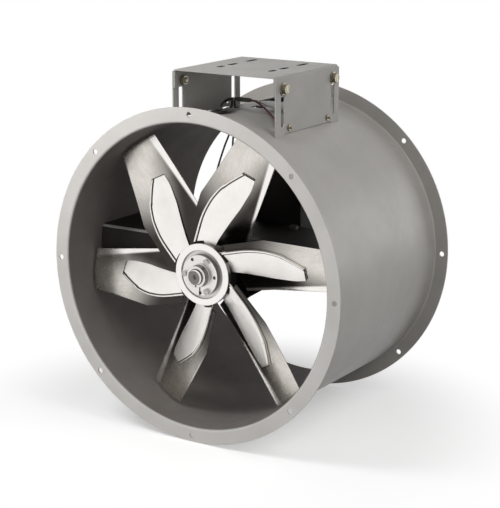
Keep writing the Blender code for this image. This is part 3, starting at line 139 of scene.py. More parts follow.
COORDINATES = "ShaderNodeTexCoord"
NOISE = "ShaderNodeTexNoise"
RANGE = "ShaderNodeMapRange"
MIX = "ShaderNodeMix"
BUMP = "ShaderNodeBump"
MATH = "ShaderNodeMath"
VECTOR_MATH = "ShaderNodeVectorMath"
SEPARATE = "ShaderNodeSeparateXYZ"
MIX_SHADER = "ShaderNodeMixShader"
DIFFUSE = "ShaderNodeBsdfDiffuse"
EMISSION = "ShaderNodeEmission"
BACKGROUND = "ShaderNodeBackground"
COLOURS: Settings = {"data_type": "RGBA"}
SMOOTH: Settings = {"interpolation_type": "SMOOTHSTEP"}
# Most of a noise's values lie in this range.
MIDDLE = {"From Min": 0.3, "From Max": 0.7}


def linear(code: str) -> tuple[float, float, float, float]:
    """Turns an sRGB hex colour into linear values.

    Args:
        code: Six hex digits after a hash.

    Returns:
        Linear red, green and blue, and an alpha of 1.
    """
    values = [int(code[place : place + 2], 16) / 255 for place in (1, 3, 5)]
    red, green, blue = (v / 12.92 if v <= 0.04045 else ((v + 0.055) / 1.055) ** 2.4 for v in values)
    return red, green, blue, 1.0


def add_node(tree: Tree, kind: str, inputs: dict, settings: Settings | None = None) -> bpy.types.Node:
    """Adds a node with its settings, values and links.

    Args:
        tree: The node tree that gets the node.
        kind: The node's type name.
        inputs: A value or an output socket for each input, by name or place.
        settings: Values of the node's own fields.

    Returns:
        The node.
    """
    node = tree.nodes.new(kind)
    for name, value in (settings or {}).items():
        setattr(node, name, value)
    for key, value in inputs.items():
        if isinstance(value, Socket):
            tree.links.new(value, node.inputs[key])
        else:
            node.inputs[key].default_value = value
    return node


@dataclass(frozen=True)
class Finish:
    """What all finishes share: a name, two colours, the shader's numbers and three layers of noise.

    A layer is the size of its grains and their detail. The tint's layer lets the other colour show,
    from none of it at the first of its ends to its share at the second. The film's layer moves the
    roughness by the spread's two numbers. The skin's layer stands up by the relief, and the relief's
    strength is the share of it that shows.
    """

    name: str
    colour: str
    other_colour: str
    roughness: float
    metallic: float = 0.0
    gloss: float = 0.5
    tint: Point2 = (6 * MM, 3.0)
    tint_ends: Point2 = (0.3, 0.7)
    tint_share: float = 1.0
    film: Point2 = (6 * MM, 3.0)
    spread: Point2 = (0.0, 0.0)
    skin: Point2 = (0.7 * MM, 2.0)
    relief: float = 0.02 * MM
    relief_strength: float = 0.5

    def material(self) -> bpy.types.Material:
        """The Blender material of this finish, made once and used again.

        Returns:
            The material.
        """
        made = bpy.data.materials.get(self.name)
        if made:
            return made
        made = bpy.data.materials.new(self.name)
        made.use_nodes = True
        tree = made.node_tree
        tree.nodes.clear()
        numbers = {"Metallic": self.metallic, "Specular IOR Level": self.gloss, "Roughness": self.roughness}
        values = {"Base Color": linear(self.colour), **numbers}
        shader = add_node(tree, "ShaderNodeBsdfPrincipled", values)
        add_node(tree, "ShaderNodeOutputMaterial", {"Surface": shader.outputs[0]})
        for name, socket in self.pattern(tree).items():
            tree.links.new(socket, shader.inputs[name])
        made.diffuse_color = linear(self.colour)
        return made

    def shade(self, tree: Tree, share: Socket, film: Socket, height: Socket) -> Looks:
        """Turns a finish's patterns into the shader's colour, roughness and relief.

        Args:
            tree: The material's tree.
            share: How much of the other colour shows.
            film: The pattern that the roughness follows.
            height: The pattern that stands up.

        Returns:
            A socket for each of the three.
        """
        colours = {0: share, 6: linear(self.colour), 7: linear(self.other_colour)}
        colour = add_node(tree, MIX, colours, COLOURS)
        reach = {"To Min": self.roughness + self.spread[0], "To Max": self.roughness + self.spread[1]}
        rough = add_node(tree, RANGE, {"Value": film, **MIDDLE, **reach})
        depth = {"Height": height, "Distance": self.relief, "Strength": self.relief_strength}
        skin = add_node(tree, BUMP, depth)
        return {"Base Color": colour.outputs[2], "Roughness": rough.outputs[0], "Normal": skin.outputs[0]}

    def pattern(self, tree: Tree) -> Looks:
        """Adds what varies over the surface: here the three layers, each as grains without direction.

        Args:
            tree: The material's tree.

        Returns:
            A socket for each of the shader's inputs that varies.
        """
        where = add_node(tree, COORDINATES, {}).outputs["Object"]
        layers = []
        for size, detail in (self.tint, self.film, self.skin):
            grains = {"Vector": where, "Scale": 1 / size, "Detail": detail}
            layers.append(add_node(tree, NOISE, grains).outputs[0])
        start, end = self.tint_ends
        reach = {"Value": layers[0], "From Min": start, "From Max": end, "To Max": self.tint_share}
        return self.shade(tree, add_node(tree, RANGE, reach).outputs[0], *layers[1:])


@dataclass(frozen=True)
class BakedEnamel(Finish):
    """Sprayed and baked enamel on sheet steel.

    It gives the eye an even grey with a faint orange peel, a soft sheen that breaks up on it, and
    slow clouds where the film is thicker. The peel is drawn about twice its real width.
    """

    tint: Point2 = (90 * MM, 3.0)
    film: Point2 = (14 * MM, 5.0)
    spread: Point2 = (-0.05, 0.07)
    skin: Point2 = (1.6 * MM, 2.0)
    relief: float = 0.03 * MM


@dataclass(frozen=True)
class RolledAluminium(Finish):
    """Bright sheet aluminium as it leaves the mill.

    It gives the eye a near mirror drawn out along the rolling direction, with fine streaks,
    smudges from handling and patches where the skin has dulled. The streaks are drawn about three
    times as coarse as the real ones.
    """

    metallic: float = 1.0
    stretch: float = 45.0
    tint_ends: Point2 = (0.40, 0.10)
    film: Point2 = (38 * MM, 4.0)
    spread: Point2 = (0.08, -0.06)
    skin: Point2 = (0.9 * MM, 3.0)
    relief: float = 0.01 * MM
    relief_strength: float = 0.15

    def pattern(self, tree: Tree) -> Looks:
        """Streaks along X, smudges in colour and gloss, and the grain's relief.

        Args:
            tree: The material's tree.

        Returns:
            The sockets of the colour, the roughness and the relief.
        """
        where = add_node(tree, COORDINATES, {}).outputs["Object"]
        drawn = add_node(tree, "ShaderNodeMapping", {"Vector": where, "Scale": (1 / self.stretch, 1, 1)})
        grain = {"Vector": drawn.outputs[0], "Scale": 1 / self.skin[0], "Detail": self.skin[1]}
        streaks = add_node(tree, NOISE, grain).outputs[0]
        handled = {"Vector": where, "Scale": 1 / self.film[0], "Detail": self.film[1]}
        smudges = add_node(tree, NOISE, handled).outputs[0]
        both = add_node(tree, MATH, {0: streaks, 1: smudges}, {"operation": "MULTIPLY"}).outputs[0]
        reach = {"Value": both, "From Min": self.tint_ends[0], "From Max": self.tint_ends[1]}
        return self.shade(tree, add_node(tree, RANGE, reach).outputs[0], smudges, streaks)


@dataclass(frozen=True)
class PaintedLightBlade(RolledAluminium):
    """Rolled sheet with painted shade at its root and a painted highlight along its trailing edge.

    It gives the eye a dark root of painted shade, which stands in for the arm's shadow and the dark
    reflections near the hub and clears towards the tip, later beside the arm than under it; and a
    trailing edge painted pale as a highlight.
    """

    # The painted shade's and the painted highlight's colours, where the shade fades and how far it lags, and
    # where the highlight starts.
    painted_shade_colour: str = "#2d2a27"
    painted_highlight_colour: str = "#f6f3ef"
    shade_from: float = 0.075
    shade_to: float = 0.235
    shade_share: float = 0.97
    lead_lag: float = 0.7
    trail_lag: float = 2.4
    highlight_from: float = -0.041
    highlight_blend: float = 0.005

    def pattern(self, tree: Tree) -> Looks:
        """The sheet's pattern with painted shade and a painted highlight laid over its colour.

        Args:
            tree: The material's tree.

        Returns:
            The sockets of the colour, the roughness and the relief.
        """
        sheet = super().pattern(tree)
        where = add_node(tree, COORDINATES, {}).outputs["Object"]
        parts = add_node(tree, SEPARATE, {0: where}).outputs
        lagging = {"operation": "MULTIPLY_ADD"}
        leading = add_node(tree, MATH, {0: parts["Z"], 1: -self.lead_lag, 2: parts["X"]}, lagging)
        trailing = add_node(tree, MATH, {0: parts["Z"], 1: self.trail_lag, 2: parts["X"]}, lagging)
        out = add_node(tree, MATH, {0: leading.outputs[0], 1: trailing.outputs[0]}, {"operation": "MINIMUM"})
        reach = {"From Min": self.shade_from, "From Max": self.shade_to}
        fade = {"Value": out.outputs[0], **reach, "To Min": self.shade_share, "To Max": 0.0}
        fading = add_node(tree, RANGE, fade, SMOOTH)
        edge = {"From Min": self.highlight_from - self.highlight_blend, "From Max": self.highlight_from}
        behind = add_node(tree, RANGE, {"Value": parts["Z"], **edge}, SMOOTH)
        factors = {0: fading.outputs[0], 1: behind.outputs[0]}
        share = add_node(tree, MATH, factors, {"operation": "MULTIPLY"})
        # The trailing strip is painted pale: a painted highlight.
        colours = {0: behind.outputs[0], 6: linear(self.painted_highlight_colour), 7: sheet["Base Color"]}
        highlighted = add_node(tree, MIX, colours, COLOURS)
        # Painted shade darkens the root and the blade beside the arm.
        shaded = {0: share.outputs[0], 6: highlighted.outputs[2], 7: linear(self.painted_shade_colour)}
        return {**sheet, "Base Color": add_node(tree, MIX, shaded, COLOURS).outputs[2]}


@dataclass(frozen=True)
class TurnedMetal(Finish):
    """Metal faced and turned on a lathe.

    It gives the eye fine rings round the axis, whose gloss fans out as on a record. The rings are
    drawn about three times as coarse as the tool's real feed.
    """

    metallic: float = 1.0
    tint_ends: Point2 = (0.7, 0.3)
    film: Point2 = (16 * MM, 3.0)
    spread: Point2 = (-0.05, 0.1)
    relief_strength: float = 0.4

    def pattern(self, tree: Tree) -> Looks:
        """Rings by the distance from the piece's own axis and along it.

        Args:
            tree: The material's tree.

        Returns:
            The sockets of the colour, the roughness and the relief.
        """
        where = add_node(tree, COORDINATES, {}).outputs["Object"]
        flat = add_node(tree, VECTOR_MATH, {0: where, 1: (1, 1, 0)}, {"operation": "MULTIPLY"})
        radius = add_node(tree, VECTOR_MATH, {0: flat.outputs[0]}, {"operation": "LENGTH"})
        parts = add_node(tree, SEPARATE, {0: where}).outputs
        along = add_node(tree, MATH, {0: radius.outputs["Value"], 1: parts["Z"]}, {"operation": "ADD"})
        feed = {"W": along.outputs[0], "Scale": 1 / self.skin[0], "Detail": self.skin[1]}
        rings = add_node(tree, NOISE, feed, {"noise_dimensions": "1D"}).outputs[0]
        reach = {"Value": rings, "From Min": self.tint_ends[0], "From Max": self.tint_ends[1]}
        oil = {"Vector": where, "Scale": 1 / self.film[0], "Detail": self.film[1]}
        stains = add_node(tree, NOISE, oil).outputs[0]
        return self.shade(tree, add_node(tree, RANGE, reach).outputs[0], stains, rings)


@dataclass(frozen=True)
class ZincPlate(Finish):
    """Steel plated with zinc and passivated.

    It gives the eye a dull straw metal with faint clouds and a grey bloom.
    """

    metallic: float = 1.0
    tint: Point2 = (5 * MM, 3.0)
    tint_ends: Point2 = (0.7, 0.3)
    film: Point2 = (5 * MM, 3.0)
    spread: Point2 = (0.12, -0.05)
    skin: Point2 = (0.6 * MM, 2.0)
    relief_strength: float = 0.3


@dataclass(frozen=True)
class SandCasting(Finish):
    """Metal cast in sand, whose skin keeps the mould's grain.

    It gives the eye a pebbled surface that catches small dull lights on its crowns.
    """

    tint: Point2 = (1.4 * MM, 3.0)
    tint_ends: Point2 = (0.45, 0.75)
    film: Point2 = (1.4 * MM, 3.0)
    spread: Point2 = (0.1, -0.1)
    skin: Point2 = (1.4 * MM, 3.0)
    relief: float = 0.25 * MM
    relief_strength: float = 0.7


@dataclass(frozen=True)
class ExtrudedNylon(Finish):
    """Nylon tube as it comes off the extruder.

    It gives the eye a waxy gloss with faint draw lines and a little dust.
    """

    tint: Point2 = (4 * MM, 4.0)
    tint_ends: Point2 = (0.45, 0.75)
    tint_share: float = 0.5
    film: Point2 = (4 * MM, 4.0)
    spread: Point2 = (-0.06, 0.12)
    skin: Point2 = (0.8 * MM, 2.0)
    relief: float = 0.03 * MM
    relief_strength: float = 0.4


@dataclass(frozen=True)
class Rubber(Finish):
    """Moulded rubber with a matt bloom, which gives the eye a soft grey without highlights."""

    relief: float = 0.05 * MM


# Baked grey enamel reads as an even mid grey that shades softly round the drum.
HOUSING_ENAMEL = BakedEnamel("baked_enamel_on_drum", "#b4b1ac", "#aaa7a2", 0.42)
# The front flange's front face is painted paler than the drum: painted light where the lamps fall on it.
LIT_FLANGE_ENAMEL = BakedEnamel("baked_enamel_with_painted_light_on_front_flange", "#e1deda", "#d7d4cf", 0.50, gloss=0.2)
# The bore is painted darker and duller than the drum: painted shade inside the drum.
SHADED_BORE_ENAMEL = BakedEnamel("baked_enamel_with_painted_shade_in_bore", "#7d7874", "#716c68", 0.62, gloss=0.08)
# The support, the tunnel and the base's slot walls are painted dull and near black: painted shade.
SHADED_INNER_ENAMEL = BakedEnamel("enamel_with_painted_shade_on_inner_steelwork", "#312e2c", "#292725", 0.60, gloss=0.1)
# Primer worn thin along a bend shows as a pale line.
# A pale line painted along the support's front bend: a painted highlight.
HIGHLIGHT_ENAMEL = BakedEnamel("painted_highlight_on_bends", "#a5a29e", "#6f6c69", 0.40, gloss=0.4)
# The same baked grey on folded sheet, a shade rougher.
FRAME_ENAMEL = BakedEnamel("baked_enamel_on_motor_frame", "#b2b0ac", "#a8a6a1", 0.52, gloss=0.2)
# Mill sheet gives the blades a bright, drawn-out sheen, with painted shade at the root
# and a painted highlight along the trailing edge.
BLADE_METAL = PaintedLightBlade("rolled_aluminium_blades", "#e6e1da", "#cdc8c1", 0.24)
# Pressed from cleaner sheet, the arms look nearly white.
ARM_METAL = RolledAluminium("pressed_aluminium_arms", "#fbf8f4", "#efebe7", 0.34)
# Painted shade in the arms' grooves and at their ends draws a dark line round them.
FOLD_SHADE_METAL = RolledAluminium("aluminium_with_painted_shade_in_folds", "#5b5753", "#35322f", 0.50)
# A faced casting gives the hub's disc a white, softly ringed face.
HUB_METAL = TurnedMetal("faced_aluminium_hub", "#fcfaf7", "#eeebe7", 0.36)
# The recess floor is painted a little darker and duller than the disc: painted shade in the recess.
SHADED_RECESS_METAL = TurnedMetal("faced_aluminium_with_painted_shade_in_recess", "#e6e3df", "#d2cfcb", 0.42)
# The hub's sides stay as cast: grey and grainy beside the white face.
CAST_ALUMINIUM = SandCasting("sand_cast_aluminium", "#77736f", "#a29e99", 0.45, metallic=1.0)
# Faced steel is nearly as bright as the hub, with crisper rings.
TURNED_STEEL = TurnedMetal("turned_steel", "#f1efec", "#dcd9d5", 0.30)
# The bushing's sides are painted darker, as painted shade, which makes its steps stand out.
SHADED_SIDE_STEEL = TurnedMetal("turned_steel_with_painted_shade_on_sides", "#8f8c88", "#63605c", 0.38)
# Ground shafting is a dark grey mirror.
SHAFT_STEEL = TurnedMetal("ground_steel_shaft", "#8b8784", "#6d6967", 0.33)
# Yellow passivation gives the fasteners their dull straw tint.
ZINC = ZincPlate("yellow_zinc_plate", "#a39c89", "#6f6b60", 0.38)
# The bearing bolts inside the drum are painted almost black: painted shade.
SHADED_ZINC = ZincPlate("zinc_plate_with_painted_shade", "#4b4845", "#393735", 0.55, metallic=0.4)
# Clear passivation is a colder, cleaner silver.
CLEAR_ZINC = ZincPlate("clear_zinc_plate", "#d4d1cc", "#a19e99", 0.32)
# Painted iron looks like dark blue-grey grain.
CAST_IRON = SandCasting("painted_sand_cast_iron", "#2b3032", "#4d5355", 0.55)
# Black tube is a soft black with a waxy line of light.
BLACK_TUBE = ExtrudedNylon("extruded_black_nylon", "#0d0d0d", "#3a3937", 0.34)
# Red tube shows as a thin dull red line.
RED_TUBE = ExtrudedNylon("extruded_red_nylon", "#5c2b27", "#7d5a54", 0.34)
# Undyed tube is a warm white.
PALE_TUBE = ExtrudedNylon("extruded_natural_nylon", "#d9d2ca", "#b9b0a6", 0.34)
# Bloomed rubber is a soft dark grey.
SLEEVE_RUBBER = Rubber("moulded_grey_rubber", "#4b4b47", "#5d5d59", 0.62)


# Making and joining meshes


def moved(x: float, y: float, z: float) -> Matrix:
    """The place of something moved to a point."""
    return Matrix.Translation((x, y, z))


def show(obj: Piece, finish: Finish, slot: Slot, body: Body, node: str) -> None:
    """Dresses a finished piece and lets it ride on its body in place of its CAD node.

    Args:
        obj: The piece, in place.
        finish: Its finish.
        slot: The record's slot that the finish belongs to; not used.
        body: The body that it moves with.
        node: The CAD node that it stands for.
    """
    if obj.type == "MESH":
        weigh_normals(obj)
    obj.data.materials.clear()
    obj.data.materials.append(finish.material())
    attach(obj, body.value)
    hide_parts(node)


def dress_zone(obj: Piece, finish: Finish, inside: Callable[[Vector, Vector], bool]) -> None:
    """Gives the faces of one zone of a piece their own finish.

    Args:
        obj: The piece, already shown.
        finish: The zone's finish.
        inside: Says by a face's centre and normal, in the piece's own frame, if it belongs there.
    """
    obj.data.materials.append(finish.material())
    place = len(obj.data.materials) - 1
    for face in obj.data.polygons:
        if inside(face.center, face.normal):
            face.material_index = place


def add_object(name: str, data: bpy.types.ID, world: Matrix = UPRIGHT) -> Piece:
    """Adds an object to the scene.

    Args:
        name: Its name.
        data: Its mesh, curve, lamp or camera data.
        world: Its place.

    Returns:
        The object.
    """
    obj = bpy.data.objects.new(name, data)
    bpy.context.scene.collection.objects.link(obj)
    obj.matrix_world = world
    return obj


def link_mesh(name: str, shape: bmesh.types.BMesh, world: Matrix = UPRIGHT, angle: float = SHARP) -> Piece:
    """Turns a bmesh into a linked object with smooth shading between sharp edges.

    Args:
        name: The object's name.
        shape: The bmesh, which is freed.
        world: The object's place.
        angle: Edges that bend more than this many degrees stay sharp.

    Returns:
        The object.
    """
    bmesh.ops.recalc_face_normals(shape, faces=shape.faces)
    mesh = bpy.data.meshes.new(name)
    shape.to_mesh(mesh)
    shape.free()
    obj = add_object(name, mesh, world)
    smooth(obj, angle)
    return obj


def smooth(obj: Piece, angle: float = SHARP) -> None:
    """Shades an object smooth, with edges over an angle in degrees kept sharp."""
    obj.data.shade_smooth()
    obj.data.set_sharp_from_angle(angle=math.radians(angle))


def weigh_normals(obj: Piece) -> None:
    """Weighs an object's normals by area, so that wide flat faces shade flat beside roundings.

    Args:
        obj: The object, whose mesh is made anew.
    """
    obj.modifiers.new("normals", "WEIGHTED_NORMAL").keep_sharp = True
    bpy.context.view_layer.update()
    graph = bpy.context.evaluated_depsgraph_get()
    obj.data = bpy.data.meshes.new_from_object(obj.evaluated_get(graph))
    obj.modifiers.clear()


def settle(obj: Piece, angle: float = SHARP) -> Piece:
    """Applies an object's modifiers, or turns a curve into its mesh.

    Args:
        obj: The object, linked to the scene.
        angle: Edges that bend more than this many degrees stay sharp.

    Returns:
        A mesh object with the same name and place.
    """
    bpy.context.view_layer.update()
    graph = bpy.context.evaluated_depsgraph_get()
    mesh = bpy.data.meshes.new_from_object(obj.evaluated_get(graph))
    name, world = obj.name, obj.matrix_world.copy()
    bpy.data.objects.remove(obj, do_unlink=True)
    made = add_object(name, mesh, world)
    shape = bmesh.new()
    shape.from_mesh(mesh)
    bmesh.ops.remove_doubles(shape, verts=shape.verts, dist=WELD)
    shape.to_mesh(mesh)
    shape.free()
    smooth(made, angle)
    return made


def cut(obj: Piece, *tools: Piece, operation: str = "DIFFERENCE", angle: float = SHARP) -> Piece:
    """Cuts pieces out of an object, or joins them to it.

    Args:
        obj: The object to change.
        *tools: The objects that cut or join, which are used up.
        operation: Blender's name of the operation.
        angle: Edges that bend more than this many degrees stay sharp.

    Returns:
        The changed object.
    """
    for tool in tools:
        boolean = obj.modifiers.new(tool.name, "BOOLEAN")
        boolean.object = tool
        boolean.operation = operation
        boolean.solver = "EXACT"
    made = settle(obj, angle)
    for tool in tools:
        bpy.data.objects.remove(tool, do_unlink=True)
    return made


def soften(obj: Piece, width: float, segments: int, limit: float = 40.0) -> Piece:
    """Rounds an object's sharp edges.

    Args:
        obj: The object.
        width: The rounding's width in metres.
        segments: How many faces it has.
        limit: Edges under this many degrees stay as they are.

    Returns:
        The rounded object.
    """
    bevel = obj.modifiers.new("edges", "BEVEL")
    bevel.width = width
    bevel.segments = segments
    bevel.limit_method = "ANGLE"
    bevel.angle_limit = math.radians(limit)
    return settle(obj, SHARP_ROUNDED)


def lathe(name: str, profile: Outline, world: Matrix, segments: int, angle: float = SHARP) -> Piece:
    """Spins a profile round its own Z axis.

    Args:
        name: The object's name.
        profile: Points of (radius, height), a closed outline or one from the axis to the axis.
        world: The object's place.
        segments: Faces round the axis.
        angle: Edges that bend more than this many degrees stay sharp.

    Returns:
        The object.
    """
    shape = bmesh.new()
    rings = []
    for radius, height in profile:
        if radius == 0:
            rings.append([shape.verts.new((0, 0, height))] * segments)
            continue
        turn = (FULL_TURN * index / segments for index in range(segments))
        rings.append([shape.verts.new((radius * math.cos(a), radius * math.sin(a), height)) for a in turn])
    for first, second in zip(rings, [*rings[1:], rings[0]]):
        for index in range(segments):
            after = (index + 1) % segments
            corners = [first[index], first[after], second[after], second[index]]
            unique = list(dict.fromkeys(corners))
            if len(unique) > 2:
                shape.faces.new(unique)
    return link_mesh(name, shape, world, angle)


def block(name: str, low: Point3, high: Point3) -> Piece:
    """A plain block between two corners, for cutting and for folded plates' blanks.

    Args:
        name: The object's name.
        low: Its lowest corner.
        high: Its highest corner.

    Returns:
        The block.
    """
    shape = bmesh.new()
    bmesh.ops.create_cube(shape, size=1)
    low_corner, high_corner = Vector(low), Vector(high)
    bmesh.ops.scale(shape, vec=high_corner - low_corner, verts=shape.verts)
    bmesh.ops.translate(shape, vec=(low_corner + high_corner) / 2, verts=shape.verts)
    return link_mesh(name, shape)


def pegs(name: str, radius: float, length: float, places: Sequence[Matrix], segments: int = 40) -> Piece:
    """Equal cylinders in one mesh, for cutting a set of holes.

    Args:
        name: The object's name.
        radius: The holes' radius.
        length: How long each cutter is.
        places: Each cutter's middle, its Z along the hole.
        segments: Faces round each one.

    Returns:
        The cutters' object.
    """
    shape = bmesh.new()
    size = {"segments": segments, "radius1": radius, "radius2": radius, "depth": length}
    for place in places:
        bmesh.ops.create_cone(shape, cap_ends=True, matrix=place, **size)
    return link_mesh(name, shape)


def arc(centre: Point2, radius: float, start: float, end: float, steps: int) -> list[Point2]:
    """Points along an arc from a start to an end angle in radians, both ends included."""
    angles = [start + (end - start) * step / steps for step in range(steps + 1)]
    return [(centre[0] + radius * math.cos(a), centre[1] + radius * math.sin(a)) for a in angles]


def slot_outline(centre: Point2, width: float, height: float) -> list[Point2]:
    """A slot with round ends whose long side is the second axis.

    Args:
        centre: Its middle.
        width: Its width.
        height: Its length, ends included.

    Returns:
        The closed outline.
    """
    radius = width / 2
    reach = height / 2 - radius
    upper = arc((centre[0], centre[1] + reach), radius, 0, math.pi, 16)
    return upper + arc((centre[0], centre[1] - reach), radius, math.pi, FULL_TURN, 16)


def ring_outline(centre: Point2, radius: float, steps: int = 32) -> list[Point2]:
    """A circle's points, the first not repeated."""
    return arc(centre, radius, 0, FULL_TURN * (1 - 1 / steps), steps - 1)


def plate(name: str, outlines: Sequence[Outline], thickness: float, world: Matrix, edge: float) -> Piece:
    """A flat plate with openings, its edges rounded inside its own size.

    Args:
        name: The object's name.
        outlines: Closed outlines, the plate's edge first and then its openings.
        thickness: The plate's thickness.
        world: The plate's middle plane.
        edge: The rounding of its edges.

    Returns:
        The plate.
    """
    curve = bpy.data.curves.new(name, "CURVE")
    curve.dimensions = "2D"
    curve.fill_mode = "BOTH"
    curve.extrude = thickness / 2 - edge
    curve.bevel_depth = edge
    curve.bevel_resolution = 1
    curve.offset = -edge
    for outline in outlines:
        spline = curve.splines.new("POLY")
        spline.points.add(len(outline) - 1)
        for point, (across, along) in zip(spline.points, outline):
            point.co = (across, along, 0, 1)
        spline.use_cyclic_u = True
    return settle(add_object(name, curve, world))


def stretch_profile(name: str, outline: Outline, length: float, world: Matrix) -> Piece:
    """A closed outline drawn out along its own Z, both ways from its middle.

    Args:
        name: The object's name.
        outline: The closed outline.
        length: How long the piece is.
        world: The outline's middle plane.

    Returns:
        The piece.
    """
    shape = bmesh.new()
    ends = [[shape.verts.new((x, y, side * length / 2)) for x, y in outline] for side in (-1, 1)]
    count = len(outline)
    for index in range(count):
        after = (index + 1) % count
        shape.faces.new([ends[0][index], ends[0][after], ends[1][after], ends[1][index]])
    for end in ends:
        shape.faces.new(end)
    return link_mesh(name, shape, world)


def tube(name: str, points: Sequence[Vector], radius: float) -> Piece:
    """A round tube along points, kept as a curve of one open spline.

    Args:
        name: The object's name.
        points: The line that it follows.
        radius: Its radius.

    Returns:
        The curve object.
    """
    curve = bpy.data.curves.new(name, "CURVE")
    curve.dimensions = "3D"
    curve.bevel_depth = radius
    curve.bevel_resolution = 5
    curve.use_fill_caps = True
    spline = curve.splines.new("POLY")
    spline.points.add(len(points) - 1)
    for point, place in zip(spline.points, points):
        point.co = (*place, 1)
    spline.use_smooth = True
    return add_object(name, curve)


def on_curve(ends: Sequence[Vector | float], slopes: Sequence[Vector | float], t: float) -> Vector | float:
    """A place on the cubic between two ends, t of the way, by its slopes there over its whole span."""
    from_start = ends[0] * (2 * t**3 - 3 * t**2 + 1) + slopes[0] * (t**3 - 2 * t**2 + t)
    return from_start + ends[1] * (3 * t**2 - 2 * t**3) + slopes[1] * (t**3 - t**2)


def smooth_route(knots: Sequence[Vector], steps: int) -> list[Vector]:
    """A smooth line through knots, whose bends are weighted by the knots' spacing.

    Args:
        knots: The points that it passes through.
        steps: Stretches between two knots.

    Returns:
        The line's points.
    """
    spans = [(after - before).length for before, after in zip(knots, knots[1:])]
    slopes = [(knots[1] - knots[0]).normalized()]
    for index in range(1, len(knots) - 1):
        before = (knots[index] - knots[index - 1]) / spans[index - 1]
        after = (knots[index + 1] - knots[index]) / spans[index]
        slopes.append((before * spans[index] + after * spans[index - 1]) / (spans[index - 1] + spans[index]))
    slopes.append((knots[-1] - knots[-2]).normalized())
    line = []
    for index, span in enumerate(spans):
        leaving = [slope * span for slope in slopes[index : index + 2]]
        line += [on_curve(knots[index : index + 2], leaving, step / steps) for step in range(steps)]
    return [*line, knots[-1].copy()]


# Camera, light and floor


def aim(obj: Piece, place: Point3, target: Point3) -> None:
    """Puts a camera or a lamp in its place and turns it to a target."""
    obj.location = place
    obj.rotation_euler = (Vector(target) - Vector(place)).to_track_quat("-Z", "Y").to_euler()


@dataclass(frozen=True)
class Lamp:
    """One square soft lamp that faces the fan's middle."""

    name: str
    place: Point3
    size: float
    power: float
    in_gloss: bool = False


